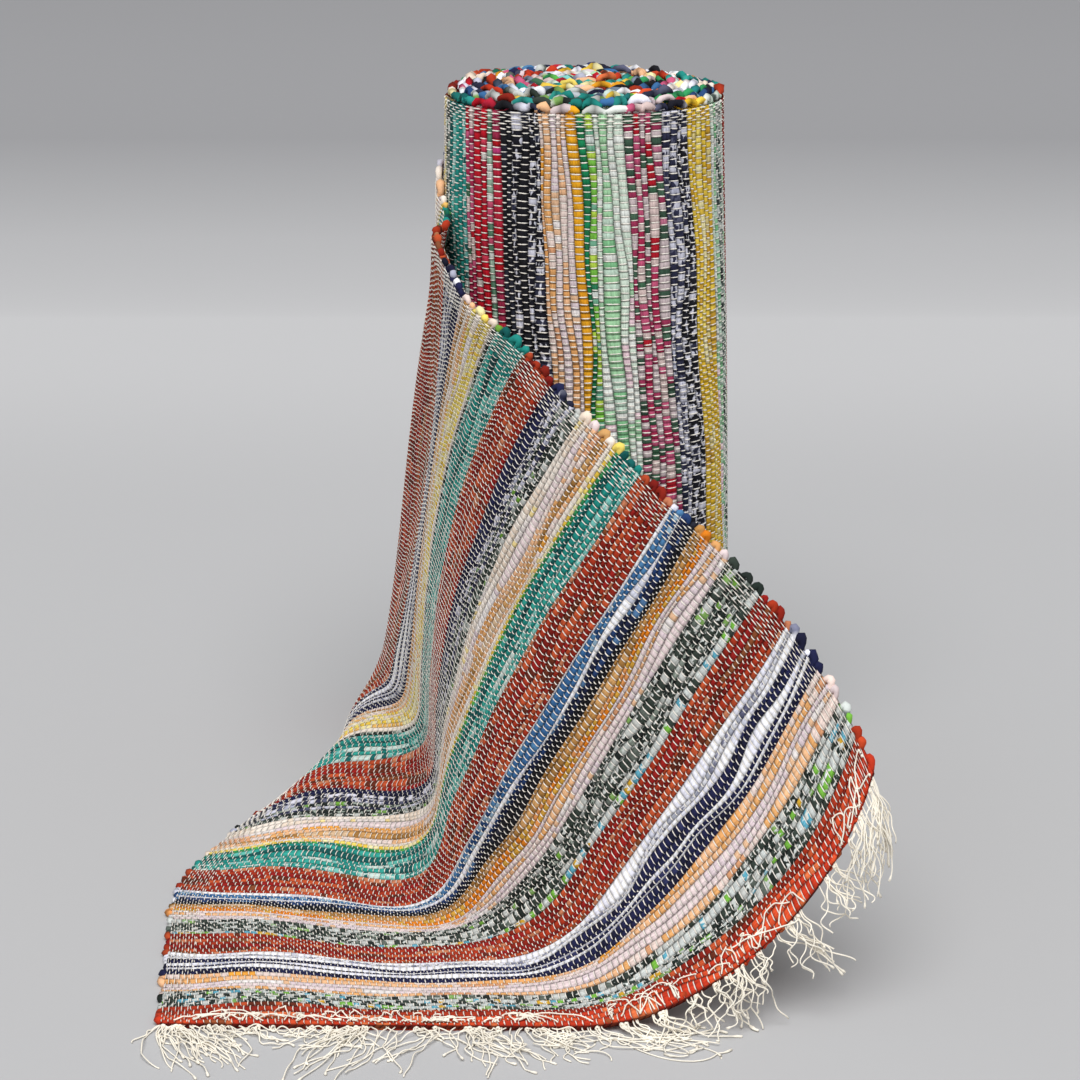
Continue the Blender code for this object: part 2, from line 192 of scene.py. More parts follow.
def fromGrid(grid, rowPlace, columnPlace):  # bilinear between the four grid points round each place
    rows = np.clip(np.floor(rowPlace).astype(int), 0, grid.shape[0] - 2)
    columns = np.clip(np.floor(columnPlace).astype(int), 0, grid.shape[1] - 2)
    down = (rowPlace - rows)[..., None]
    right = (columnPlace - columns)[..., None]
    upper = grid[rows, columns] * (1 - right) + grid[rows, columns + 1] * right
    lower = grid[rows + 1, columns] * (1 - right) + grid[rows + 1, columns + 1] * right
    return upper * (1 - down) + lower * down


# One row each: a sum of sines of random length and phase, about 1 high.
def smoothNoise(random, rows, steps, waves):
    along = np.linspace(0.0, 1.0, steps)[None, None]
    turns = random.uniform(0.4, 1.0, (rows, waves, 1)) * (np.arange(waves)[None, :, None] + 1.0)
    phase = random.uniform(0.0, 2.0 * np.pi, (rows, waves, 1))
    sizes = 1.0 / np.sqrt(np.arange(waves)[None, :, None] + 1.0)
    return (np.sin(2.0 * np.pi * turns * along + phase) * sizes).sum(axis=1)


# The weave. The same rug looks finer on its draped end, where the rags are packed closer, than on the roll.
weave = {
    "looseStitchPitch": 0.0060,        # between two stitches on one rib
    "rollStitchPitch": 0.0071,
    "edgeWarps": 9,                    # closer warps along each selvedge
    "edgeWarpPitch": 0.0027,
    "firstStitch": 0.0250,             # from a selvedge to the first evenly spaced stitch
    "ribDepth": 0.0019,
    "ribProud": 0.0008,
    "ribStations": (0.0, 0.22, 0.5, 0.78),
    "ribHeights": (0.0, 0.80, 1.0, 0.80),
    "pickUnevenness": 0.29,            # how much a pick's width changes along it, in how many waves
    "pickWaves": 9,
    "pickSeeds": (11, 12),             # of the draped end and of the roll
    "bandWander": 0.0012,              # how far the edge between two bands wanders
    "bandWaves": 7,
    "rollWander": 0.60,                # the same on the roll, in degrees
    "wanderAtFoot": 2.6,               # how much more it wanders near the lower selvedge
    "wanderReach": 0.26,
    "footLean": 0.007,                 # how far the picks swing together on the floor, and over what length
    "footLeanWave": 0.23,
    "footLeanShift": 0.03,
    "leanAcross": (0.07, 0.44, 0.16),  # across and along the rug the swing grows over the first length, and
    "leanAlong": (0.11, 0.62, 0.3),    # fades over the third one before the second
    "swellMiddle": 0.17,               # where white rags swell on the floor, and how far
    "swellReach": 0.13,
}

# Bands from the hem of the draped end to where it joins the roll: distance from the hem, and the picks in
# order. A number after a colon is a pick's width against its neighbours'.
looseBands = (
    (0.000, "hemRust:1.2 hemRust hemRust:1.2 rust rust"),
    (0.035, "pebble pebbleBright pebble pebbleBright pebble"),
    (0.067, "peach blush blush peach orangePeach"),
    (0.100, "navy navy white:0.6 navy:0.5 white:0.7 navy navy white whitePrint:0.6 white"),
    (0.147, "rustLight:0.7 rust brick rust rustLight brick rust"),
    (0.185, "pebbleBright pebble pebble:1.2 pebbleDark pebble pebble"),
    (0.220, "blush blush peach blush:0.8 orange orange:0.7 tan:1.1 tan:0.6"),
    (0.255, "black:0.8 black:0.8 blueNavy blueNavy:0.9 white:0.45 blue blue white:0.4"),
    (0.286, "rust rustLight brick rust rust brick rust rustLight"),
    (0.332, "tealPrint teal tealPrint:0.8 teal tealDark:0.8 teal green:0.5"),
    (0.369, "yellow:0.7 cream:0.7 orangePeach tan peach orangePeach:0.8 blush cream cream"),
    (0.420, "pebble pebbleDark lilacPrint pebbleDark lilacPrint:0.9 navyPrint navy navy:0.8"),
    (0.467, "brick rust rustLight rust rust brick rust rustLight"),
    (0.521, "tealPrint teal tealPrint teal tealDark:0.8 teal tealPrint"),
    (0.570, "pebbleDark:0.8 cream:0.8 yellow yellow yellow:0.9 cream yellow:0.7 peach cream:0.8 tan "
             "orangePeach:0.8"),
    (0.640, "navy navy:1.1 navy:0.8 whitePrint:0.7 navy:0.9 white:0.5 navy:0.9 lilacPrint:0.7 white:0.5 "
             "navy navyPrint:0.8"),
    (0.700, "rustLight rust brown brown:1.2 rust rustLight rust brown rust brick rust rust brick rust "
             "rust rust brick rust"),
    (0.860, "teal tealPrint tealDark teal green teal"),
    (0.908, "yellow cream blush peach orangePeach cream"),
    (0.956, "navyPrint pebbleDark navyPrint blueNavy steel navyPrint"),
    (1.004, "rust rustLight rust brick rust rust rust"),
    (1.060, "mint white mint mintDeep mint"),
    (1.100, "crimson plumGreen crimson plumGreen crimson crimson"),
    (1.148, "teal tealDark teal tealPrint teal green"),
)

# The same on the roll, from the parting line inwards: how far round the band begins, and its picks.
rollBands = (
    (360.0, "teal tealDark tealPrint green teal teal"),
    (338.0, "rust brick rust rustLight rust rust brick"),
    (314.0, "mint mintGrey mintGrey mintDeep mint"),
    (299.0, "gold gold yellow gold gold:0.8"),
    (283.7, "blackPrint blackPrint lilacPrint lilacPrint"),
    (269.7, "plumGreen crimson plumGreen crimson plumGreen"),
    (252.3, "mint mint mintDeep mint"),
    (239.2, "lime greenDeep"),
    (233.9, "amber"),
    (230.7, "blush orangePeach blush peach orangePeach:0.8"),
    (218.1, "blackPrint blackPrint black blackPrint"),
    (204.8, "black black"),
    (199.8, "crimsonRed"),
    (196.4, "greenWhite"),
    (193.0, "red red"),
    (185.2, "crimson crimson"),
    (179.9, "tealPrint teal teal tealPrint tealDark"),
    (163.9, "mintGrey mintGrey"),
    (158.4, "yellowPale yellowPale cream"),
    (147.0, "rust rustLight rust brick rust rust rust brick"),
    (121.0, "navyPrint lilacPrint navyPrint steel navyPrint navyPrint lilacPrint navyPrint"),
    (95.0, "yellow cream peach blush orangePeach cream blush peach"),
    (69.0, "teal tealPrint teal tealDark green teal tealPrint teal"),
    (43.0, "brick rust rust rustLight rust brick rust"),
    (20.0, "pebble pebbleBright pebble pebble peach blush"),
    (0.0, ""),
)

# Rags: screen colours (0 to 255) with the share of each along a strip. "patch" is how many stitches a colour
# runs for, "mix" how much it changes from one stitch to the next, "speckle" a printed colour and its share.
# "uneven" is how much a rag's width changes along it, and "swell" how much wider it is on the floor.
rags = {
    "rust": {"patch": 11, "mix": 0.2,
        "tones": ((162, 50, 25, 4), (132, 32, 19, 3), (187, 79, 43, 3), (97, 41, 24, 1))},
    "rustLight": {"patch": 9, "mix": 0.35,
        "tones": ((171, 69, 38, 4), (194, 121, 87, 2), (147, 41, 25, 3), (130, 71, 40, 2))},
    "brick": {"patch": 10, "mix": 0.25,
        "tones": ((121, 24, 17, 4), (145, 27, 24, 3), (160, 50, 27, 2), (99, 38, 24, 1))},
    "hemRust": {"patch": 10, "mix": 0.2, "uneven": 2.2,
        "tones": ((208, 77, 41, 4), (187, 54, 29, 3), (220, 111, 65, 2), (145, 73, 40, 1))},
    "pebble": {"patch": 3.5, "mix": 0.35, "uneven": 1.3, "speckle": (196, 200, 196, 0.17),
        "tones": ((50, 59, 53, 5), (185, 187, 183, 2), (89, 97, 90, 2), (33, 40, 37, 4), (122, 161, 87, 1))},
    "pebbleBright": {"patch": 4, "mix": 0.3, "uneven": 1.3, "speckle": (204, 210, 206, 0.2),
        "tones": ((52, 62, 56, 3), (114, 175, 64, 2), (189, 194, 192, 3), (91, 162, 184, 2),
                  (34, 44, 40, 2), (202, 158, 47, 1))},
    "pebbleDark": {"patch": 4, "mix": 0.3, "speckle": (150, 160, 150, 0.18),
        "tones": ((40, 50, 45, 4), (31, 37, 36, 3), (105, 154, 56, 1), (128, 138, 128, 1),
                  (179, 183, 179, 1))},
    "peach": {"patch": 11, "mix": 0.16,
        "tones": ((230, 180, 136, 3), (222, 164, 104, 2), (226, 205, 196, 2), (210, 152, 112, 1))},
    "orangePeach": {"patch": 14, "mix": 0.14,
        "tones": ((224, 162, 100, 3), (230, 180, 138, 3), (226, 206, 198, 2), (232, 160, 62, 1))},
    "blush": {"patch": 12, "mix": 0.2,
        "tones": ((222, 204, 204, 5), (216, 199, 204, 2), (223, 181, 145, 1), (229, 222, 220, 2))},
    "cream": {"patch": 12, "mix": 0.2,
        "tones": ((236, 224, 212, 4), (228, 210, 192, 2), (238, 216, 150, 1), (228, 218, 214, 2))},
    "white": {"patch": 10, "mix": 0.3, "uneven": 2.0, "swell": 2.4,
        "tones": ((238, 238, 243, 6), (226, 226, 238, 3), (198, 200, 214, 1))},
    "whitePrint": {"patch": 6, "mix": 0.35, "uneven": 1.6, "swell": 1.5, "speckle": (120, 122, 144, 0.22),
        "tones": ((215, 215, 222, 5), (164, 167, 180, 3), (87, 89, 115, 1))},
    "navy": {"patch": 10, "mix": 0.3, "uneven": 1.5,
        "tones": ((29, 32, 67, 6), (24, 25, 50, 3), (45, 49, 87, 1))},
    "navyPrint": {"patch": 4, "mix": 0.35, "speckle": (212, 210, 222, 0.3),
        "tones": ((22, 24, 41, 5), (32, 36, 58, 2), (204, 203, 220, 1), (83, 85, 109, 1))},
    "blackPrint": {"patch": 4, "mix": 0.3, "speckle": (206, 206, 218, 0.2),
        "tones": ((22, 22, 32, 7), (44, 46, 66, 2), (200, 200, 214, 1))},
    "lilacPrint": {"patch": 4, "mix": 0.35, "speckle": (44, 46, 70, 0.3),
        "tones": ((200, 200, 214, 4), (84, 86, 108, 2), (36, 38, 60, 2), (176, 178, 196, 2))},
    "steel": {"patch": 5, "mix": 0.4, "speckle": (60, 72, 90, 0.15),
        "tones": ((111, 125, 142, 3), (194, 201, 208, 3), (62, 75, 95, 2))},
    "black": {"patch": 10, "mix": 0.2, "tones": ((24, 24, 30, 7), (36, 38, 50, 2))},
    "blueNavy": {"patch": 6, "mix": 0.4, "tones": ((34, 58, 103, 3), (25, 31, 58, 4), (75, 111, 151, 1))},
    "blue": {"patch": 7, "mix": 0.4,
        "tones": ((54, 99, 147, 4), (75, 123, 167, 2), (38, 69, 115, 2), (142, 171, 194, 1))},
    "teal": {"patch": 9, "mix": 0.15,
        "tones": ((29, 130, 121, 5), (49, 155, 142, 3), (17, 87, 85, 1), (95, 180, 167, 1))},
    "tealPrint": {"patch": 7, "mix": 0.2, "speckle": (190, 210, 204, 0.12),
        "tones": ((40, 138, 130, 4), (115, 187, 178, 2), (24, 97, 95, 1), (196, 215, 208, 1))},
    "tealDark": {"patch": 9, "mix": 0.2, "tones": ((15, 83, 81, 4), (24, 107, 101, 3), (15, 62, 64, 1))},
    "green": {"patch": 6, "mix": 0.4,
        "tones": ((47, 138, 83, 4), (87, 171, 75, 2), (22, 95, 75, 2), (34, 119, 119, 1))},
    "greenDeep": {"patch": 4, "mix": 0.4,
        "tones": ((30, 112, 70, 4), (24, 132, 84, 2), (170, 206, 72, 1), (214, 218, 208, 1))},
    "lime": {"patch": 4, "mix": 0.3,
        "tones": ((120, 190, 72, 3), (176, 206, 76, 2), (112, 170, 140, 2), (40, 122, 84, 1),
                  (206, 214, 208, 1))},
    "mint": {"patch": 8, "mix": 0.4,
        "tones": ((206, 222, 206, 4), (226, 230, 224, 3), (164, 208, 168, 2), (226, 198, 206, 1))},
    "mintDeep": {"patch": 6, "mix": 0.4,
        "tones": ((158, 204, 160, 4), (190, 214, 196, 2), (126, 186, 136, 2), (214, 216, 210, 1))},
    "mintGrey": {"patch": 2.5, "mix": 0.6, "speckle": (60, 70, 66, 0.18),
        "tones": ((176, 196, 182, 3), (112, 124, 116, 2), (208, 214, 208, 3), (50, 58, 56, 1))},
    "greenWhite": {"patch": 4, "mix": 0.5,
        "tones": ((148, 176, 156, 3), (206, 210, 204, 3), (84, 122, 98, 2), (196, 80, 110, 1))},
    "tan": {"patch": 9, "mix": 0.2,
        "tones": ((182, 132, 72, 3), (157, 114, 60, 2), (202, 154, 97, 2), (209, 178, 144, 1))},
    "brown": {"patch": 12, "mix": 0.2, "tones": ((138, 81, 50, 4), (164, 103, 67, 2), (107, 56, 36, 2))},
    "crimson": {"patch": 6, "mix": 0.35,
        "tones": ((168, 42, 78, 3), (190, 84, 118, 2), (206, 184, 180, 2), (60, 100, 74, 1),
                  (176, 24, 40, 1))},
    "crimsonRed": {"patch": 6, "mix": 0.4,
        "tones": ((176, 34, 56, 4), (190, 60, 120, 1), (172, 16, 28, 2), (150, 40, 70, 2))},
    "plumGreen": {"patch": 5, "mix": 0.25,
        "tones": ((70, 100, 80, 3), (156, 52, 86, 2), (196, 180, 182, 3), (56, 82, 66, 2),
                  (190, 112, 138, 1))},
    "red": {"patch": 9, "mix": 0.3,
        "tones": ((184, 18, 36, 6), (170, 30, 52, 2), (204, 60, 84, 1), (204, 196, 190, 1))},
    "yellow": {"patch": 8, "mix": 0.25,
        "tones": ((236, 212, 104, 4), (230, 194, 72, 2), (238, 226, 168, 3), (228, 180, 98, 1))},
    "yellowPale": {"patch": 8, "mix": 0.3,
        "tones": ((232, 220, 168, 4), (226, 206, 130, 2), (220, 210, 196, 2))},
    "gold": {"patch": 6, "mix": 0.4,
        "tones": ((222, 180, 44, 4), (232, 198, 72, 3), (206, 160, 50, 2), (214, 196, 130, 1))},
    "amber": {"patch": 9, "mix": 0.2, "tones": ((224, 160, 34, 6), (214, 146, 30, 2))},
    "orange": {"patch": 7, "mix": 0.3, "tones": ((218, 125, 28, 4), (206, 156, 60, 2), (220, 147, 84, 2))},
}


# Where each pick begins, at even steps across the rug, and its rag. Inside a band the picks share its width
# by their sizes times e to the power of a smooth noise, and the band's own edges wander a little.
def wovenEdges(bands, end, wanderSize, seed, swellShape=0.0, lean=0.0):
    random = np.random.default_rng(seed)
    steps = len(acrossPlaces)
    starts = np.array([start for start, words in bands if words] + [end])
    wandering = smoothNoise(random, len(starts), steps, weave["bandWaves"]) * wanderSize
    wandering = wandering + lean * growAndFade(starts, weave["leanAlong"])[:, None]
    wandering[[0, -1]] = 0.0
    bandEdges = starts[:, None] + wandering
    rows, names = [], []
    for number, words in enumerate(words for _, words in bands if words):
        picks = [word.split(":") for word in words.split()]
        sizes = np.array([float(word[1]) if len(word) > 1 else 1.0 for word in picks])
        uneven = np.array([rags[word[0]].get("uneven", 1.0) for word in picks])
        swells = np.array([rags[word[0]].get("swell", 0.0) for word in picks])
        noise = smoothNoise(random, len(picks), steps, weave["pickWaves"])
        widths = sizes[:, None] * np.exp(weave["pickUnevenness"] * uneven[:, None] * noise)
        widths = widths * (1.0 + swells[:, None] * swellShape)
        shares = np.concatenate([np.zeros((1, steps)), np.cumsum(widths, axis=0)[:-1]]) / widths.sum(axis=0)
        rows.append(bandEdges[number] + (bandEdges[number + 1] - bandEdges[number]) * shares)
        names.extend(word[0] for word in picks)
    return np.concatenate(rows + [bandEdges[-1:]])[..., None], names


nearFoot = np.exp(-(acrossPlaces / weave["wanderReach"]) ** 2)
footWander = weave["bandWander"] * (1.0 + weave["wanderAtFoot"] * nearFoot)
footSwell = np.exp(-((acrossPlaces - weave["swellMiddle"]) / weave["swellReach"]) ** 2)
swing = np.sin(2.0 * np.pi * (acrossPlaces - weave["footLeanShift"]) / weave["footLeanWave"])
footLean = weave["footLean"] * growAndFade(acrossPlaces, weave["leanAcross"]) * swing
looseSeed, rollSeed = weave["pickSeeds"]
looseEdges, looseRags = wovenEdges(looseBands, rug["looseLength"], footWander, looseSeed, footSwell, footLean)
rollEdges, rollRags = wovenEdges(rollBands, 0.0, weave["rollWander"], rollSeed)
pickCount = len(looseRags)
rollPickCount = len(rollRags)
print("picks", pickCount, rollPickCount)


# A point of the draped end: a place counted in picks from the hem, a distance across, and a lift off the
# back face.
def onCloth(pickPlace, across, lift):
    acrossPlace = across / drape["acrossStep"]
    fromHem = fromGrid(looseEdges, pickPlace, acrossPlace)[..., 0]
    place = np.clip(fromHem, 0.0, rug["looseLength"]) / drape["lengthStep"], acrossPlace
    return fromGrid(drapePoints, *place) + unit(fromGrid(drapeNormals, *place)) * np.asarray(lift)[..., None]


# A point of the roll's outside: a place counted in picks from the parting line, a height, and a lift off
# the wall.
def onRoll(pickPlace, height, lift):
    pickPlace, height = np.broadcast_arrays(pickPlace, height)
    turned = fromGrid(rollEdges, pickPlace, height / drape["acrossStep"])[..., 0]
    radius = rollRadius(turned, height) + lift
    x, y = aroundRoll(turned, height, radius)
    return np.stack([x, y, height * np.ones_like(x)], axis=-1)


uvName = "weave"


def linearColour(red, green, blue):  # screen colour to the linear values that a shader takes
    shares = np.array([red, green, blue]) / 255.0
    linear = np.where(shares <= 0.04045, shares / 12.92, ((shares + 0.055) / 1.055) ** 2.4)
    return (float(linear[0]), float(linear[1]), float(linear[2]), 1.0)


# One mesh object from points and lists of faces, each list with its own number of corners.
def addMesh(name, points, faces, uv=None, slots=None, materials=()):
    mesh = bpy.data.meshes.new(name)
    corners = np.concatenate([face.reshape(-1) for face in faces]).astype(np.int32)
    sizes = np.concatenate([np.full(len(face), face.shape[1]) for face in faces]).astype(np.int32)
    starts = np.concatenate([[0], np.cumsum(sizes)[:-1]]).astype(np.int32)
    mesh.vertices.add(len(points))
    mesh.loops.add(len(corners))
    mesh.polygons.add(len(sizes))
    mesh.vertices.foreach_set("co", points.astype(np.float32).ravel())
    mesh.loops.foreach_set("vertex_index", corners)
    mesh.polygons.foreach_set("loop_start", starts)
    mesh.polygons.foreach_set("loop_total", sizes)
    if slots is not None:
        mesh.polygons.foreach_set("material_index", np.asarray(slots, np.int32))
    mesh.update(calc_edges=True)
    if uv is not None:
        layer = mesh.uv_layers.new(name=uvName)
        layer.data.foreach_set("uv", uv[corners].astype(np.float32).ravel())
    mesh.polygons.foreach_set("use_smooth", np.full(len(sizes), True))
    for material in materials:
        mesh.materials.append(material)
    mesh.validate()
    piece = bpy.data.objects.new(name, mesh)
    bpy.context.scene.collection.objects.link(piece)
    print("piece", name, int((sizes - 2).sum()), "triangles")
    return piece


# Short calls for wiring a material's nodes.
class NodeBench:
    def __init__(self, material):
        material.use_nodes = True
        self.tree = material.node_tree
        self.shader = self.tree.nodes["Principled BSDF"]

    def node(self, kind, inputs=(), **settings):  # a new node, its settings set and its inputs fed
        made = self.tree.nodes.new(kind)
        for key, value in settings.items():
            setattr(made, key, value)
        for key, value in dict(inputs).items():
            self.feed(made.inputs[key], value)
        return made

    def feed(self, socket, value):  # links another node's output, or sets a fixed value
        if isinstance(value, bpy.types.NodeSocket):
            self.tree.links.new(value, socket)
        else:
            socket.default_value = value

    def noise(self, place, scale, detail, flat=False):  # a noise from 0 to 1 at the place
        inputs = {"Vector": place, "Scale": scale, "Detail": detail}
        made = self.node("ShaderNodeTexNoise", inputs, noise_dimensions="2D" if flat else "3D")
        return made.outputs[0]

    def stretched(self, place, shares):  # the place drawn out by a share for each direction
        return self.node("ShaderNodeVectorMath", {0: place, 1: shares}, operation="MULTIPLY").outputs[0]

    def grey(self, light):  # the same value in all three channels
        return self.node("ShaderNodeCombineColor", {0: light, 1: light, 2: light}).outputs[0]

    def finish(self, colour, height, look):  # the last nodes of every cloth: colour, bump and a dry surface
        inputs = {"Strength": look["bump"], "Distance": look["relief"], "Height": height}
        bump = self.node("ShaderNodeBump", inputs)
        self.feed(self.shader.inputs["Base Color"], colour)
        self.feed(self.shader.inputs["Normal"], bump.outputs[0])
        self.shader.inputs["Roughness"].default_value = look["roughness"]
        self.shader.inputs["Specular IOR Level"].default_value = look["specular"]

    def math(self, operation, first, second=0.0, third=0.0, clamp=False):  # one sum on sockets or values
        made = self.tree.nodes.new("ShaderNodeMath")
        made.operation = operation
        made.use_clamp = clamp
        for socket, value in zip(made.inputs, (first, second, third)):
            self.feed(socket, value)
        return made.outputs[0]

    def mixColour(self, share, first, second, blend="MIX"):  # the first, with a share of the second
        made = self.tree.nodes.new("ShaderNodeMix")
        made.data_type = "RGBA"
        made.blend_type = blend
        self.feed(made.inputs[0], share)
        self.feed(made.inputs[6], first)
        self.feed(made.inputs[7], second)
        return made.outputs[2]


ragLook = {
    "pickSeed": 17.13,                   # how far apart in the noise two picks are
    "contrast": 2.3,                     # how far the patches of colour spread over the ramp
    "fleckShares": (2.3, 0.85, 1.0),     # picks and stitches to a print's flecks, and to a crease
    "creaseShares": (5.5, 0.55, 1.0),
    "fleckGather": 0.16,
    "fleckEdge": (0.66, 0.38, 0.03),     # where flecks begin, less for more of them, and how softly
    "grainScale": 900.0,
    "wornScale": 55.0,
    "grooveSlope": 5.0,                  # powers: how steeply the painted shade deepens towards a groove or stitch
    "pillowSlope": 2.6,
    "grooveLight": (-0.83, 1.0),         # slopes and levels that the colour is multiplied by: painted shade in grooves and round stitches, painted light and shade along creases, tone from wear and grain
    "pinchLight": (-0.60, 1.0),
    "creaseLight": (0.90, 0.58),
    "wornLight": (0.30, 0.86),
    "grainLight": (0.24, 0.90),
    "creaseHeight": 1.3,
    "grainHeight": 0.15,
    "bump": 0.9, "relief": 0.0011, "roughness": 0.92, "specular": 0.2,
}


# Rag strip: a colour for each stitch of each pick, prints, creases along the strip, painted shade in the
# grooves between picks and round each stitch, painted light and shade along the creases, and a bump that
# makes pillows. U counts picks and V counts stitches, so their whole numbers name a stitch, and the rest of
# each is the place inside it.
def ragMaterial(name, rag):
    material = bpy.data.materials.new(name)
    bench = NodeBench(material)
    uv = bench.node("ShaderNodeUVMap", uv_map=uvName).outputs[0]
    parts = bench.node("ShaderNodeSeparateXYZ", {0: uv})
    pick = bench.math("FLOOR", parts.outputs[0])
    inPick = bench.math("FRACT", parts.outputs[0])
    odd = bench.math("FLOORED_MODULO", pick, 2.0)
    shifted = bench.math("MULTIPLY_ADD", odd, 0.5, parts.outputs[1])
    cell = bench.math("FLOOR", shifted)
    inCell = bench.math("FRACT", shifted)
    alongStrip = bench.math("MULTIPLY", cell, 1.0 / rag["patch"])
    apart = bench.math("MULTIPLY", pick, ragLook["pickSeed"])
    seedAt = bench.node("ShaderNodeCombineXYZ", {0: apart, 1: alongStrip})
    patches = bench.noise(seedAt.outputs[0], 1.0, 1.0, flat=True)
    cellAt = bench.node("ShaderNodeCombineXYZ", {0: pick, 1: cell})
    each = bench.node("ShaderNodeTexWhiteNoise", {"Vector": cellAt.outputs[0]}, noise_dimensions="2D")
    fromMean = bench.math("SUBTRACT", each.outputs[0], 0.5)
    spread = bench.math("MULTIPLY_ADD", bench.math("SUBTRACT", patches, 0.5), ragLook["contrast"], 0.5)
    value = bench.math("MULTIPLY_ADD", fromMean, rag["mix"], spread, clamp=True)
    ramp = bench.node("ShaderNodeValToRGB", {0: value})
    ramp.color_ramp.interpolation = "CONSTANT"
    total = sum(tone[3] for tone in rag["tones"])
    reached = 0.0
    for number, tone in enumerate(rag["tones"]):
        stops = ramp.color_ramp.elements
        stop = stops[number] if number < 2 else stops.new(reached)
        stop.position = reached
        stop.color = linearColour(*tone[:3])
        reached += tone[3] / total
    colour = ramp.outputs[0]
    if "speckle" in rag:  # a print: flecks drawn out along the strip, gathered stitch by stitch
        flecks = bench.noise(bench.stretched(uv, ragLook["fleckShares"]), 1.0, 1.5, flat=True)
        gathered = bench.math("MULTIPLY_ADD", fromMean, ragLook["fleckGather"], flecks)
        begin, fewer, soft = ragLook["fleckEdge"]
        edge = begin - fewer * rag["speckle"][3]
        mask = bench.node("ShaderNodeMapRange", {0: gathered, 1: edge - soft, 2: edge + soft})
        colour = bench.mixColour(mask.outputs[0], colour, linearColour(*rag["speckle"][:3]))
    # creases and folds run along the strip, so they are drawn out across the rug
    creases = bench.noise(bench.stretched(uv, ragLook["creaseShares"]), 1.0, 2.0, flat=True)
    place = bench.node("ShaderNodeTexCoord").outputs["Object"]
    grain = bench.noise(place, ragLook["grainScale"], 2.0)
    worn = bench.noise(place, ragLook["wornScale"], 2.0)
    # Painted shade: the colour is multiplied down towards the groove between picks and round each stitch, and
    # up and down along the creases as painted light and shade; wear and grain add tone.
    fromMiddle = bench.math("ABSOLUTE", bench.math("MULTIPLY_ADD", inPick, 2.0, -1.0))
    fromPillow = bench.math("ABSOLUTE", bench.math("MULTIPLY_ADD", inCell, 2.0, -1.0))
    groove = bench.math("POWER", fromMiddle, ragLook["grooveSlope"])
    pinch = bench.math("POWER", fromPillow, ragLook["grooveSlope"])
    light = bench.math("MULTIPLY_ADD", groove, *ragLook["grooveLight"])
    for pattern, look in ((pinch, "pinch"), (creases, "crease"), (worn, "worn"), (grain, "grain")):
        light = bench.math("MULTIPLY", light, bench.math("MULTIPLY_ADD", pattern, *ragLook[look + "Light"]))
    height = bench.math("MULTIPLY", bench.math("POWER", fromPillow, ragLook["pillowSlope"]), -1.0)
    height = bench.math("MULTIPLY_ADD", creases, ragLook["creaseHeight"], height)
    height = bench.math("MULTIPLY_ADD", grain, ragLook["grainHeight"], height)
    bench.finish(bench.mixColour(1.0, colour, bench.grey(light), "MULTIPLY"), height, ragLook)
    return material


yarnLook = {
    "warp": (248, 242, 232), "warpTwist": 1400.0,
    "fringe": (250, 243, 228), "fringeTwist": 1200.0,
    "darker": 0.92,              # the second tone, and where the slow noise turns to it
    "toneScale": 38.0, "toneEdges": (0.35, 0.65),
    "twistLight": (0.3, 0.88),
    "bump": 0.6, "relief": 0.0004, "roughness": 0.9, "specular": 0.2,
}


# Cotton yarn: two tones, a fine twist, and soft fuzz in its bump.
def yarnMaterial(name, colour, twist):
    material = bpy.data.materials.new(name)
    bench = NodeBench(material)
    place = bench.node("ShaderNodeTexCoord").outputs["Object"]
    slow = bench.noise(place, yarnLook["toneScale"], 2.0)
    fine = bench.noise(place, twist, 3.0)
    first, last = yarnLook["toneEdges"]
    tone = bench.node("ShaderNodeMapRange", {0: slow, 1: first, 2: last}).outputs[0]
    darker = yarnLook["darker"] * np.array(colour)
    mixed = bench.mixColour(tone, linearColour(*darker), linearColour(*colour))
    light = bench.math("MULTIPLY_ADD", fine, *yarnLook["twistLight"])
    bench.finish(bench.mixColour(1.0, mixed, bench.grey(light), "MULTIPLY"), fine, yarnLook)
    return material


ragNames = sorted(rags)
ragSlot = {name: number for number, name in enumerate(ragNames)}
ragMaterials = [ragMaterial("rag_" + name, rags[name]) for name in ragNames]
warpMaterial = yarnMaterial("warp_cotton", yarnLook["warp"], yarnLook["warpTwist"])
fringeMaterial = yarnMaterial("fringe_cotton", yarnLook["fringe"], yarnLook["fringeTwist"])
print("materials", len(ragMaterials) + 2)


def ribRows(count):  # every station of every pick, and the closing edge of the last one
    places = (np.arange(count)[:, None] + np.array(weave["ribStations"])[None]).ravel()
    return np.append(places, count - 1e-6), np.append(np.tile(weave["ribHeights"], count), 0.0)


def placesAcross(fromHem, foot, bend, wall):  # columns gather where the cloth bends up from the floor
    row = rowsAt(fromHem)
    footEnd = np.maximum(row["footRun"], drape["leastFootRun"])
    bendEnd = footEnd + np.clip(row["bendRun"], drape["leastBendRun"], drape["mostBendRun"])
    return np.concatenate([
        footEnd * np.linspace(0.0, 1.0, foot + 1)[:-1],
        footEnd + (bendEnd - footEnd) * np.linspace(0.0, 1.0, bend + 1)[:-1],
        bendEnd + (rug["width"] - bendEnd) * np.linspace(0.0, 1.0, wall + 1),
    ], axis=1)


looseSheet = {"columns": (14, 12, 36)}  # on the floor, in the bend and up the wall


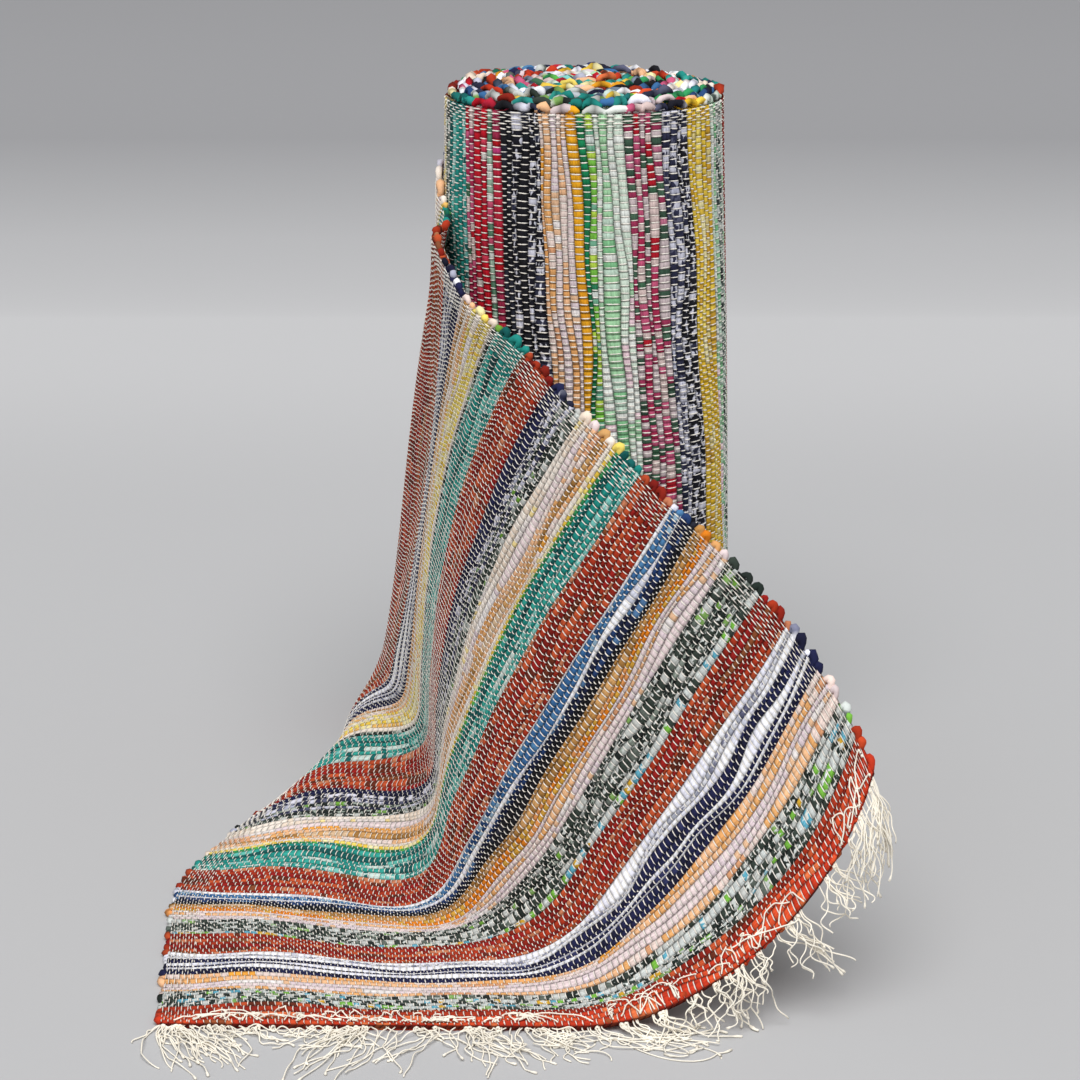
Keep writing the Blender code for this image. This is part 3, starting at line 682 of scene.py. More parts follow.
# Ribs on both faces: each row of the grid is one loop, along the face side and back along the other.
def makeLooseEnd():
    pickPlace, height = ribRows(pickCount)
    middleEdges = looseEdges[:, looseEdges.shape[1] // 2, 0]
    fromHem = np.interp(pickPlace, np.arange(pickCount + 1), middleEdges)
    across = placesAcross(fromHem, *looseSheet["columns"])
    places = np.repeat(pickPlace[:, None], across.shape[1], axis=1)
    ribs = height[:, None] * np.ones_like(across)
    face = onCloth(places, across, rug["cloth"] + weave["ribProud"] + weave["ribDepth"] * (ribs - 1.0))
    back = onCloth(places, across, weave["ribDepth"] * (1.0 - ribs))
    columns = across.shape[1]
    rows = len(pickPlace)
    points = np.concatenate([face, back[:, ::-1]], axis=1)
    stitchPlace = (across - weave["firstStitch"]) / weave["looseStitchPitch"]
    uv = np.stack([
        np.concatenate([places, places[:, ::-1]], axis=1),
        np.concatenate([stitchPlace, stitchPlace[:, ::-1] + 0.5], axis=1),
    ], axis=-1)
    ring = 2 * columns
    index = np.arange(rows * ring).reshape(rows, ring)
    following = np.roll(index, -1, axis=1)
    sides = np.stack([index[:-1], following[:-1], following[1:], index[1:]], axis=-1).reshape(-1, 4)
    ends = []
    for row, turn in ((0, 1), (rows - 1, -1)):
        facing, behind = index[row, :columns], index[row, ring - 1:columns - 1:-1]
        ends.append(np.stack([facing[:-1], behind[:-1], behind[1:], facing[1:]], axis=-1)[:, ::turn])
    slotOfPick = np.array([ragSlot[name] for name in looseRags])
    rowPick = np.minimum(np.floor(pickPlace[:-1] + 1e-6).astype(int), pickCount - 1)
    slots = np.concatenate([
        np.repeat(slotOfPick[rowPick], ring),
        np.full(columns - 1, slotOfPick[0]),
        np.full(columns - 1, slotOfPick[-1]),
    ])
    faces = np.concatenate([sides] + ends)
    return addMesh("loose_end_ribs", points.reshape(-1, 3), [faces], uv.reshape(-1, 2), slots, ragMaterials)


rollEnd = {
    "levels": 64,
    "domeShares": (0.97, 0.90, 0.78, 0.62, 0.46, 0.30, 0.14),
    "underLoops": 0.004,
    "firstPick": 301.0,           # the roll's picks are numbered from here, so that their rags differ
    "pastRim": 0.02,
    "turnPitch": 0.0082,          # the loops of rag on the end, along a spiral
    "loopLength": 0.0170,
    "spacing": (0.55, 1.3),
    "inner": 0.010,
    "rimInset": 0.0035,
    "spiralSteps": 6000,
    "tube": 0.0037, "tubeSpread": (0.8, 1.15), "tubeShape": (0.62, 0.45), "lumps": 0.16, "crumple": 0.20,
    "steps": 8, "sides": 6, "seeds": (41, 42),
    "span": 0.52, "pastEnds": 0.1,
    "height": 0.0050, "heightSpread": (0.7, 1.25), "skew": 0.4,
    "radiusSpread": 0.0009,
    "stagger": 0.0016, "staggerSpread": 0.0012, "staggerWaves": (2.3, 1.5), "rimStagger": 0.3,
    "above": 0.0008,              # of a loop's foot over the dome, and as much less along the rim
    "lean": 0.0024, "leanIn": 0.0004, "drift": 0.0018,
    "runLength": 1.8,             # loops of one rag in a row, and the share that match their picks on the rim
    "rimMatch": 0.8,
}


# The roll: ribbed wall, a low dome under the loops of its upper end, and a flat foot.
def makeRollRibs():
    pickPlace, height = ribRows(rollPickCount)
    heights = np.linspace(0.0, rug["width"] - rug["rimDrop"], rollEnd["levels"])
    lift = weave["ribProud"] + weave["ribDepth"] * (height[None] - 1.0)
    wall = onRoll(pickPlace[None], heights[:, None], lift)
    shares = np.array(rollEnd["domeShares"])
    rim = wall[-1]
    dome = rug["width"] - rug["rimDrop"] * shares ** 3 - rollEnd["underLoops"]
    caps = [np.stack([rim[:, 0] * share, rim[:, 1] * share, np.full(len(rim), top)], axis=-1)
            for share, top in zip(shares, dome)]
    grid = np.concatenate([wall, np.stack(caps)])
    rows, columns = grid.shape[:2]
    points = np.concatenate([grid.reshape(-1, 3), [[0.0, 0.0, dome[-1]], [0.0, 0.0, 0.0]]])
    index = np.arange(rows * columns).reshape(rows, columns)
    following = np.roll(index, -1, axis=1)
    sides = np.stack([index[:-1], index[1:], following[1:], following[:-1]], axis=-1).reshape(-1, 4)
    upper = np.stack([index[-1], np.full(columns, rows * columns), following[-1]], axis=-1)
    lower = np.stack([index[0], following[0], np.full(columns, rows * columns + 1)], axis=-1)
    past = heights[-1] + rollEnd["pastRim"] * np.arange(1, len(shares) + 1)
    stitchPlace = (np.concatenate([heights, past]) - weave["firstStitch"]) / weave["rollStitchPitch"]
    uv = np.stack([
        np.repeat(pickPlace[None] + rollEnd["firstPick"], rows, axis=0),
        np.repeat(stitchPlace[:, None], columns, axis=1),
    ], axis=-1).reshape(-1, 2)
    uv = np.concatenate([uv, [[rollEnd["firstPick"] + 0.5, 0.5]] * 2])
    columnPick = np.minimum(np.floor(pickPlace + 1e-6).astype(int), rollPickCount - 1)
    slots = np.tile(np.array([ragSlot[name] for name in rollRags])[columnPick], rows + 1)
    return addMesh("roll_ribs", points, [sides, upper, lower], uv, slots, ragMaterials)


looseEnd = makeLooseEnd()
rollBody = makeRollRibs()


# Evenly spaced in the middle, closer along both selvedges, half a step over on odd picks.
def warpPlaces(odd, pitch):
    count = int((rug["width"] - 2 * weave["firstStitch"]) / pitch)
    middle = weave["firstStitch"] + pitch * (np.arange(count + 1 - odd) + 0.5 * odd)
    edge = weave["edgeWarpPitch"] * (np.arange(weave["edgeWarps"]) + 0.45)
    return np.concatenate([edge[odd::2], middle, rug["width"] - edge[(1 - odd)::2]])


def stitchTable(count, pitch, shift):  # pick number and place across of every stitch
    picks, across = [], []
    for odd in (0, 1):
        rows = np.arange(count)[np.arange(count) % 2 == odd]
        places = warpPlaces((odd + shift) % 2, pitch)
        picks.append(np.repeat(rows, len(places)))
        across.append(np.tile(places, len(rows)))
    return np.concatenate(picks).astype(float), np.concatenate(across)


stitches = {
    "width": 0.0011, "rollWidth": 0.0013, "widthSpread": (0.8, 1.2),
    "height": 0.00030, "heightSpread": (0.8, 1.25),
    "edgeHeight": 2.2, "edgeSlant": 0.6,             # shares for those by a selvedge
    "reach": 0.09, "edgeReach": 0.42, "reachSpread": (-0.03, 0.05),  # past the rib, in picks
    "jitter": 0.0004,
    "slant": 0.0006,
    "bow": (-0.0009, -0.0003), "rollBow": 0.4,
    "stations": (0.25, 0.75),                        # of the two rings, and each ring's places and heights
    "section": ((-0.5, -0.1), (0.0, 1.0), (0.5, -0.1)),
    "tipDepth": (-0.10, -0.75),                      # in rib depths, by a selvedge and elsewhere
    "shoulderDepth": (0.02, -0.03),
    "backAbove": 0.012, "backBeyond": 0.165,         # the back has stitches only where it can be seen,
    "rollPast": 120.0, "rollAbove": 0.56,            # and the roll where the draped end doesn't lie on it
}


# Each stitch is a three-sided spindle over its rib: a point sunk in each groove, and two rings on the rib.
def stitchMesh(name, surface, picks, across, side, base, seed):
    random = np.random.default_rng(seed)
    count = len(picks)
    onWall = surface is onRoll
    nearEdge = np.minimum(across, rug["width"] - across) < weave["firstStitch"] - 0.001
    reach = np.where(nearEdge, stitches["edgeReach"], stitches["reach"])
    reach = reach + random.uniform(*stitches["reachSpread"], count)
    across = across + stitches["jitter"] * either(random, 1.0, count)
    slant = either(random, stitches["slant"], count)
    slant = slant * np.where(nearEdge, stitches["edgeSlant"], 1.0)
    bow = np.where(nearEdge, 0.0, random.uniform(*stitches["bow"], count))
    bow = bow * (stitches["rollBow"] if onWall else 1.0)
    width = stitches["rollWidth" if onWall else "width"] * random.uniform(*stitches["widthSpread"], count)
    tall = stitches["height"] * random.uniform(*stitches["heightSpread"], count)
    tall = tall * np.where(nearEdge, stitches["edgeHeight"], 1.0)

    def place(station, sideways, lift):
        bent = bow * (1.0 - (2.0 * station - 1.0) ** 2)
        lateral = np.clip(across + slant * (station - 0.5) + sideways * width + bent, 0.0, rug["width"])
        return surface(np.maximum(picks + station, 0.0), lateral, base + side * lift)

    groove = np.where(nearEdge, *stitches["tipDepth"]) * weave["ribDepth"]
    shoulder = np.where(nearEdge, *stitches["shoulderDepth"]) * weave["ribDepth"]
    points = [place(-reach, 0.0, groove)]
    for station in stitches["stations"]:
        for sideways, crest in stitches["section"]:
            points.append(place(station, sideways, shoulder + crest * tall))
    points.append(place(1.0 + reach, 0.0, groove))
    points = np.stack(points, axis=1)
    points[..., 2] = np.maximum(points[..., 2], 0.0)
    triangles = np.array([(0, 2, 1), (0, 3, 2), (0, 1, 3), (7, 4, 5), (7, 5, 6), (7, 6, 4)])
    quads = np.array([(1, 2, 5, 4), (2, 3, 6, 5), (3, 1, 4, 6)])
    if side > 0:
        triangles, quads = triangles[:, ::-1], quads[:, ::-1]
    first = (np.arange(count) * 8)[:, None, None]
    faces = [(first + triangles).reshape(-1, 3), (first + quads).reshape(-1, 4)]
    return addMesh(name, points.reshape(-1, 3), faces, materials=[warpMaterial])


faceBase = rug["cloth"] + weave["ribProud"]
facePicks, faceAcross = stitchTable(pickCount, weave["looseStitchPitch"], 0)
backPicks, backAcross = stitchTable(pickCount, weave["looseStitchPitch"], 1)
lowHalf = faceAcross < rug["width"] / 2
backAt = onCloth(backPicks + 0.5, backAcross, np.zeros(len(backPicks)))
backRadius = np.hypot(backAt[:, 0], backAt[:, 1])
backShows = (backAt[:, 2] > stitches["backAbove"]) & (backRadius > stitches["backBeyond"])
stitchPieces = []
for name, picks, across, shown, side, base, seed in (
        ("loose_end_stitches_low", facePicks, faceAcross, lowHalf, 1, faceBase, 21),
        ("loose_end_stitches_high", facePicks, faceAcross, ~lowHalf, 1, faceBase, 22),
        ("loose_end_back_stitches", backPicks, backAcross, backShows, -1, 0.0, 23)):
    stitchPieces.append(stitchMesh(name, onCloth, picks[shown], across[shown], side, base, seed))
rollPicks, rollAcross = stitchTable(rollPickCount, weave["rollStitchPitch"], 0)
rollTurned = np.interp(rollPicks, np.arange(rollPickCount + 1), rollEdges[:, 0, 0])
rollShows = (rollTurned > stitches["rollPast"]) | (rollAcross > stitches["rollAbove"])
rollHeights = rollAcross[rollShows] * (rug["width"] - rug["rimDrop"]) / rug["width"]
rollStitches = stitchMesh("roll_stitches", onRoll, rollPicks[rollShows], rollHeights, 1, weave["ribProud"],
                          24)


# Rings round each path: across it lie the guide's and the tangent's cross product, and a second one at
# right angles. Crumpled rags have each ring point moved in or out by a random share.
def tubeMesh(name, paths, radii, sides, guide, uv=None, slots=None, materials=(), crumple=0.0, seed=0):
    count, steps = paths.shape[:2]
    tangents = unit(np.gradient(paths, axis=1))
    first = unit(np.cross(tangents, guide))
    second = np.cross(tangents, first)
    angle = 2.0 * np.pi * np.arange(sides) / sides
    ring = (first[:, :, None] * np.cos(angle)[None, None, :, None]
            + second[:, :, None] * np.sin(angle)[None, None, :, None])
    random = np.random.default_rng(seed)
    reach = radii[:, :, None] * (1.0 + crumple * either(random, 1.0, (count, steps, sides)))
    points = paths[:, :, None] + ring * reach[..., None]
    points[..., 2] = np.maximum(points[..., 2], 0.0)
    index = np.arange(count * steps * sides).reshape(count, steps, sides)
    following = np.roll(index, -1, axis=2)
    quads = np.stack([index[:, :-1], following[:, :-1], following[:, 1:], index[:, 1:]], axis=-1)
    quads = quads.reshape(-1, 4)
    starts, ends = index[:, 0, ::-1], index[:, -1]
    meshUv = None
    if uv is not None:
        meshUv = np.repeat(uv.reshape(count, steps, 1, 2), sides, axis=2).reshape(-1, 2)
    faceSlots = None
    if slots is not None:
        faceSlots = np.concatenate([np.repeat(slots, (steps - 1) * sides), slots, slots])
    return addMesh(name, points.reshape(-1, 3), [quads, starts, ends], meshUv, faceSlots, materials)


knobs = {
    "tube": 0.0029, "tubeShape": (0.80, 0.30), "lumps": 0.12, "crumple": 0.15, "steps": 8, "sides": 7,
    "upperReach": 0.0042, "lowerReach": 0.0018, "inset": 0.0024,
    "sizeSpread": 0.22, "sizeLimits": (0.6, 1.5),
    "halfSpan": 0.55, "widest": 1.15, "placeJitter": 0.2,   # in picks
    "skew": 0.3, "lift": (-0.0006, 0.0012), "lean": (-0.0012, 0.0016),
    "outStep": 0.004,                                       # over which the way out of the cloth is measured
    "firstPick": 200.0,                                     # the number of their first rag
}


# At a selvedge each rag turns back into the next pick: half an ellipse out of the cloth, from pick to pick.
def makeKnobs(name, side, far, seed):
    random = np.random.default_rng(seed)
    first = np.arange(0 if side > 0 else 1, pickCount - 1, 2)
    count, steps = len(first), knobs["steps"]
    angle = np.linspace(0.0, np.pi, steps)
    size = np.clip(random.normal(1.0, knobs["sizeSpread"], count), *knobs["sizeLimits"])
    edge = rug["width"] if side > 0 else 0.0
    middle = first[:, None] + 1.0 + either(random, knobs["placeJitter"], count)[:, None]
    span = knobs["halfSpan"] * np.cos(angle)[None] * np.minimum(size, knobs["widest"])[:, None]
    pickPlace = np.clip(middle - span, 0.0, pickCount)
    edgePlace = np.full_like(pickPlace, edge)
    lean = random.uniform(*knobs["lean"], count)[:, None] * np.sin(angle)[None]
    lift = rug["cloth"] / 2.0 + random.uniform(*knobs["lift"], count)[:, None] + lean
    atEdge = onCloth(pickPlace, edgePlace, lift)
    inside = onCloth(pickPlace, np.full_like(pickPlace, edge - side * knobs["outStep"]), lift)
    outward = unit(atEdge - inside)
    skew = 1.0 + knobs["skew"] * either(random, 1.0, count)[:, None] * np.cos(angle)[None]
    reach = -knobs["inset"] + (knobs["inset"] + far) * np.sin(angle)[None] * size[:, None] * skew
    paths = atEdge + outward * reach[..., None]
    thin, thicker = knobs["tubeShape"]
    radii = knobs["tube"] * np.sqrt(size)[:, None] * (thin + thicker * np.sin(angle)[None])
    radii = radii * (1.0 + knobs["lumps"] * smoothNoise(random, count, steps, 2))
    paths[..., 2] = np.maximum(paths[..., 2], radii * 0.95)
    guide = np.repeat(np.cross(outward[:, 3], paths[:, -1] - paths[:, 0])[:, None], steps, axis=1)
    uv = np.stack([np.repeat(first[:, None] + 0.5, steps, 1) + knobs["firstPick"],
                   np.repeat(0.15 + 0.7 * angle[None] / np.pi, count, 0) + side * 3], axis=-1)
    nextRag = random.uniform(0.0, 1.0, count) < 0.5
    slots = np.array([ragSlot[looseRags[pick + int(flip)]] for pick, flip in zip(first, nextRag)])
    return tubeMesh(name, paths, radii, knobs["sides"], guide, uv, slots, ragMaterials, knobs["crumple"],
                    seed)


upperKnobs = makeKnobs("upper_selvedge_turns", 1, knobs["upperReach"], 31)
lowerKnobs = makeKnobs("lower_selvedge_turns", -1, knobs["lowerReach"], 32)

# The rags that show on the roll's end, bright ones more often.
endRags = ("red", "crimson", "teal", "tealPrint", "navy", "white", "yellow", "orangePeach", "green", "mint",
           "rust", "steel", "blue", "black", "cream", "gold", "hemRust", "blush", "pebble", "lilacPrint",
           "amber", "white")


# The selvedge turns on the roll's end: arches set along a spiral, each standing in the tangent's upright
# plane.
def makeRollLoops():
    random = np.random.default_rng(rollEnd["seeds"][0])
    steps, loopLength = rollEnd["steps"], rollEnd["loopLength"]
    outer = rollRadius(360.0, rug["width"]) - rollEnd["rimInset"]
    turns = (outer - rollEnd["inner"]) / rollEnd["turnPitch"]
    fine = np.linspace(0.0, turns * 2.0 * np.pi, rollEnd["spiralSteps"])
    radius = outer - rollEnd["turnPitch"] * fine / (2.0 * np.pi)
    length = np.concatenate([[0.0], np.cumsum((radius[1:] + radius[:-1]) / 2.0 * np.diff(fine))])
    at = np.cumsum(loopLength * random.uniform(*rollEnd["spacing"], int(1.2 * length[-1] / loopLength)))
    at = at[at < length[-1]]
    count = len(at)
    sizes = np.append(np.diff(at), loopLength) / loopLength
    wound = np.interp(at, length, fine)
    layer = np.floor(wound / (2.0 * np.pi))
    inner = layer > 0
    radius = np.interp(at, length, radius) + random.normal(0.0, rollEnd["radiusSpread"], count) * inner
    turned = 360.0 - np.degrees(wound)
    azimuth = np.radians(rug["partingAzimuth"] - rug["rollTwist"] + turned)
    byLayer, byAzimuth = rollEnd["staggerWaves"]
    stagger = rollEnd["stagger"] * np.sin(byLayer * layer + byAzimuth * np.sin(azimuth + layer))
    stagger = stagger + random.normal(0.0, rollEnd["staggerSpread"], count)
    stagger = np.where(layer < 1, -rollEnd["above"] + rollEnd["rimStagger"] * stagger, stagger)
    base = rug["width"] - rug["rimDrop"] * (radius / rug["topRadius"]) ** 3 + rollEnd["above"] + stagger
    angle = np.linspace(-rollEnd["pastEnds"], np.pi + rollEnd["pastEnds"], steps)
    tangent = np.stack([np.sin(azimuth), -np.cos(azimuth), np.zeros(count)], axis=-1)
    centre = np.stack([radius * np.cos(azimuth), radius * np.sin(azimuth), base], axis=-1)
    along = -rollEnd["span"] * loopLength * np.cos(angle)[None] * sizes[:, None]
    height = rollEnd["height"] * random.uniform(*rollEnd["heightSpread"], count)
    skew = either(random, rollEnd["skew"], count)[:, None]
    paths = centre[:, None] + tangent[:, None] * along[..., None]
    paths[..., 2] += height[:, None] * np.sin(angle)[None] * (1.0 + skew * np.cos(angle)[None])
    out = unit(centre * np.array([1.0, 1.0, 0.0]))
    lean = either(random, rollEnd["lean"], count) * inner - rollEnd["leanIn"]
    drift = either(random, rollEnd["drift"], count)
    swing = lean[:, None] * np.sin(angle)[None] + drift[:, None] * np.cos(angle)[None] * inner[:, None]
    paths += out[:, None] * swing[..., None]
    thin, thicker = rollEnd["tubeShape"]
    radii = rollEnd["tube"] * random.uniform(*rollEnd["tubeSpread"], count)[:, None]
    radii = radii * (thin + thicker * np.sin(np.clip(angle, 0, np.pi))[None])
    radii = radii * (1.0 + rollEnd["lumps"] * smoothNoise(random, count, steps, 3))
    guide = np.repeat(out[:, None], steps, axis=1)
    # the rim's loops take the rags of the picks below them, further in they come in short runs of any rag
    under = np.interp(-np.clip(turned, 0.0, 360.0), -rollEdges[:, -1, 0], np.arange(rollPickCount + 1))
    under = np.clip(under.astype(int), 0, rollPickCount - 1)
    rimSlots = np.array([ragSlot[rollRags[pick]] for pick in under])
    runs = np.cumsum(random.uniform(0.0, 1.0, count) < 1.0 / rollEnd["runLength"])
    endSlots = np.array([ragSlot[name] for name in endRags])
    anyRag = endSlots[random.integers(0, len(endSlots), runs.max() + 1)[runs]]
    slots = np.where((layer < 1) & (random.uniform(0.0, 1.0, count) < rollEnd["rimMatch"]), rimSlots, anyRag)
    uv = np.stack([np.repeat(np.arange(count)[:, None] + 0.5, steps, 1),
                   np.repeat(0.1 + 0.8 * np.linspace(0, 1, steps)[None], count, 0)], axis=-1)
    return tubeMesh("roll_end_turns", paths, radii, rollEnd["sides"], guide, uv, slots, ragMaterials,
                    rollEnd["crumple"], rollEnd["seeds"][1])


rollLoops = makeRollLoops()


fringe = {
    "yarn": 0.00069, "sides": 4, "steps": 30,
    "rootHeight": 0.55,                           # how high in the cloth they begin, in cloths
    "alongStep": 0.004,                           # the step that finds the way along the hem
    "liftOff": 0.33,                              # how far along the hem it rises off the floor
    "yarnsInKnot": 6, "rootSpread": 0.0022, "headingSpread": 16.0, "lengthSpread": (0.55, 1.12),
    "looseShare": 0.35, "looseReach": 1.3,        # ends that came out of their knots
    "tipKnotShare": 0.45, "tipKnot": (1.9, 1.7),  # tips knotted against fraying, and how thick
    "fan": 34.0, "swirl": 66.0, "mostTurn": 105.0, "heap": 0.0036,
    "fanPace": 2.2, "turnPace": 4.5, "swirlPace": 2.4,  # at pace 4 it is all there a quarter of the way along
    "dropPace": 5.0, "heapPace": 4.0, "heapFades": 0.75, "swayPace": 4.0, "swayFades": 0.5,
    "fallLength": 0.034, "sway": 1.2, "swayOut": 0.8, "leanOut": 0.15,
    "runOn": 0.55, "runOnCurl": 0.5, "sideways": 0.45, "sidewaysSpread": 0.5, "sidewaysCurl": 0.8,
}
knots = {"tube": 0.0008, "sides": 5, "ring": 0.0013, "ringSpread": (0.8, 1.4), "steps": 11, "tilt": 0.7,
         "off": 0.0018, "between": 0.0012}

# On the floor: distance along the hem and spread of the roots, yarns, heading from straight out, length and
# curl.
floorClumps = (
    (0.012, 0.012, 22, 22, 0.098, 0.25),
    (0.006, 0.006, 4, -8, 0.050, 0.6),
    (0.030, 0.014, 12, 34, 0.080, 0.40),
    (0.055, 0.014, 5, 14, 0.070, 0.45),
    (0.040, 0.030, 7, 72, 0.050, 0.7),
    (0.085, 0.025, 9, 64, 0.055, 0.8),
    (0.125, 0.025, 8, 80, 0.055, 0.7),
    (0.115, 0.030, 5, -78, 0.045, 0.7),
    (0.165, 0.035, 16, -34, 0.098, 0.3),
    (0.185, 0.030, 8, -72, 0.060, 0.6),
    (0.215, 0.020, 7, -20, 0.090, 0.4),
    (0.235, 0.022, 6, 66, 0.055, 0.8),
    (0.250, 0.014, 4, 38, 0.070, 0.3),
    (0.272, 0.018, 12, 26, 0.095, 0.35),
    (0.290, 0.016, 6, -70, 0.050, 0.8),
    (0.305, 0.012, 6, 6, 0.105, 0.55),
    (0.318, 0.012, 8, 60, 0.080, 0.7),
)

# Off the floor: distance along the hem and spread of the roots, yarns, lean to the right, length, curl, and
# how far the yarns droop (1 hangs straight down).
raisedClumps = (
    (0.350, 0.016, 7, 30, 0.070, 0.9, 1.0),
    (0.375, 0.014, 6, 62, 0.080, 0.8, 1.0),
    (0.400, 0.016, 12, 50, 0.075, 0.9, 1.0),
    (0.430, 0.014, 9, 30, 0.072, 1.1, 1.0),
    (0.460, 0.014, 11, 26, 0.066, 1.2, 0.9),
    (0.485, 0.012, 9, 12, 0.062, 1.2, 0.9),
    (0.508, 0.010, 8, 0, 0.066, 0.5, 1.0),
    (0.530, 0.012, 5, 24, 0.052, 1.0, 0.7),
    (0.552, 0.012, 10, 34, 0.064, 0.8, 0.65),
    (0.570, 0.010, 6, 56, 0.066, 0.8, 0.5),
    (0.598, 0.014, 8, 40, 0.060, 1.0, 0.6),
    (0.620, 0.010, 6, 30, 0.056, 1.0, 0.7),
    (0.648, 0.010, 8, 6, 0.064, 0.6, 0.95),
    (0.672, 0.010, 13, -4, 0.076, 0.35, 1.0),
    (0.692, 0.006, 20, -6, 0.086, 0.22, 1.0),
)


# A point in the middle of the hem's edge, the way out of it, and the way along it.
def hemAt(across):
    places = np.zeros_like(across)
    middle = np.full_like(across, rug["cloth"] * fringe["rootHeight"])
    edge = onCloth(places, across, middle)
    outward = unit(edge - onCloth(places + 1.0, across, middle))
    step = fringe["alongStep"]
    after = onCloth(places, np.clip(across + step, 0, rug["width"]), middle)
    before = onCloth(places, np.clip(across - step, 0, rug["width"]), middle)
    return edge, outward, unit(after - before)


# One row for each yarn: its root along the hem, and its clump's heading, length and curl. Also the places of
# the knots.
def clumpTable(clumps, low, high, seed):
    random = np.random.default_rng(seed)
    rows, knotPlaces = [], []
    for middle, spread, yarns, heading, length, curl, *rest in clumps:
        knotCount = max(1, round(yarns / fringe["yarnsInKnot"]))
        knotsAt = np.clip(middle + spread * either(random, 1.0, knotCount), low + 0.002, high - 0.002)
        knotPlaces.extend(knotsAt)
        for yarn in range(yarns):
            root = knotsAt[yarn % knotCount] + random.normal(0.0, fringe["rootSpread"])
            if random.uniform() < fringe["looseShare"]:
                root = middle + spread * either(random, fringe["looseReach"], None)
            rows.append((np.clip(root, low, high), heading + random.normal(0.0, fringe["headingSpread"]),
                         length * random.uniform(*fringe["lengthSpread"]), curl, *rest))
    return np.array(rows), np.array(knotPlaces)


# A tube along each path, with a thicker tip where the yarn's end is knotted.
def yarnTubes(name, paths, guide):
    count, steps = paths.shape[:2]
    radii = np.full((count, steps), fringe["yarn"])
    random = np.random.default_rng(count)
    radii[random.uniform(0.0, 1.0, count) < fringe["tipKnotShare"], -2:] *= np.array(fringe["tipKnot"])
    return tubeMesh(name, paths, radii, fringe["sides"], guide, materials=[fringeMaterial])


# Each path from its root: steps of one length each, in the directions given.
def walk(start, directions, lengths):
    steps = directions[:, :-1] * (lengths / (directions.shape[1] - 1))[:, None, None]
    return start[:, None] + np.concatenate([np.zeros_like(steps[:, :1]), np.cumsum(steps, axis=1)], axis=1)


# Yarns leave their knot, drop to the floor and lie in loose curves: the heading turns from straight out to
# the clump's own, with a swirl of three waves on top.
def makeFloorFringe():
    random = np.random.default_rng(51)
    table, knotPlaces = clumpTable(floorClumps, 0.001, fringe["liftOff"] - 0.002, 52)
    across, turn, length, curl = table.T
    count, steps = len(across), fringe["steps"]
    edge, outward, _ = hemAt(across)
    share = np.linspace(0.0, 1.0, steps)[None]
    swirl = smoothNoise(random, count, steps, 3)
    start = np.degrees(np.arctan2(outward[:, 1], outward[:, 0]))[:, None]
    fan = random.normal(0.0, fringe["fan"], (count, 1)) * (1.0 - easeStep(share * fringe["fanPace"]))
    bend = turn[:, None] * easeStep(share * fringe["turnPace"]) + fan
    bend = bend + fringe["swirl"] * curl[:, None] * swirl * easeStep(share * fringe["swirlPace"])
    heading = np.radians(start + fringe["mostTurn"] * np.tanh(bend / fringe["mostTurn"]))
    plan = walk(edge[:, :2], np.stack([np.cos(heading), np.sin(heading)], axis=-1), length)
    z = fringe["yarn"] + (edge[:, 2:3] - fringe["yarn"]) * (1.0 - easeStep(share * fringe["dropPace"]))
    heap = np.abs(smoothNoise(random, count, steps, 3)) * easeStep(share * fringe["heapPace"])
    heap = heap * (1.0 - fringe["heapFades"] * share)
    paths = np.concatenate([plan, (z + fringe["heap"] * heap)[..., None]], axis=-1)
    guide = np.broadcast_to(np.array([0.0, 0.0, 1.0]), paths.shape)
    return yarnTubes("fringe_on_floor", paths, guide), knotPlaces


# Yarns leave their knot, fall with a slow sway to both sides, and run on level where they reach the floor.
def makeRaisedFringe():
    random = np.random.default_rng(53)
    table, knotPlaces = clumpTable(raisedClumps, fringe["liftOff"] + 0.002, rug["width"] - 0.001, 54)
    across, lean, length, curl, droop = table.T
    count, steps = len(across), fringe["steps"]
    lean, curl = lean[:, None], curl[:, None]
    edge, outward, along = hemAt(across)
    share = np.linspace(0.0, 1.0, steps)[None]
    fall = droop[:, None] * easeStep(share * length[:, None] / fringe["fallLength"])
    level = unit(along * np.array([1.0, 1.0, 0.0]))
    ahead = np.stack([level[:, 1], -level[:, 0], np.zeros(count)], axis=-1)
    sway = np.tan(np.radians(lean)) * (1.0 - fringe["swayFades"] * share)
    sway = sway + fringe["sway"] * curl * smoothNoise(random, count, steps, 4)
    swayOut = fringe["swayOut"] * curl * smoothNoise(random, count, steps, 4) + fringe["leanOut"]
    begun = easeStep(share * fringe["swayPace"])
    direction = unit(outward[:, None] * (1.0 - fall)[..., None] + np.array([0.0, 0.0, -1.0]) * fall[..., None]
                     + level[:, None] * (sway * begun)[..., None]
                     + ahead[:, None] * (swayOut * begun)[..., None])
    paths = walk(edge, direction, length)
    lowest = fringe["yarn"] * (1.0 + 2.0 * np.abs(smoothNoise(random, count, steps, 2)))
    sunk = np.maximum(lowest - paths[..., 2], 0.0)
    spread = np.tan(np.radians(np.clip(lean, -50, 60))) * fringe["sideways"]
    spread = spread + either(random, fringe["sidewaysSpread"], (count, 1))
    spread = spread + fringe["sidewaysCurl"] * curl * smoothNoise(random, count, steps, 3)
    further = fringe["runOn"] + fringe["runOnCurl"] * curl * smoothNoise(random, count, steps, 3)
    paths[..., 2] = np.maximum(paths[..., 2], lowest)
    paths += level[:, None] * (sunk * spread)[..., None] + ahead[:, None] * (sunk * further)[..., None]
    return yarnTubes("fringe_hanging", paths, np.broadcast_to(ahead[:, None], paths.shape)), knotPlaces


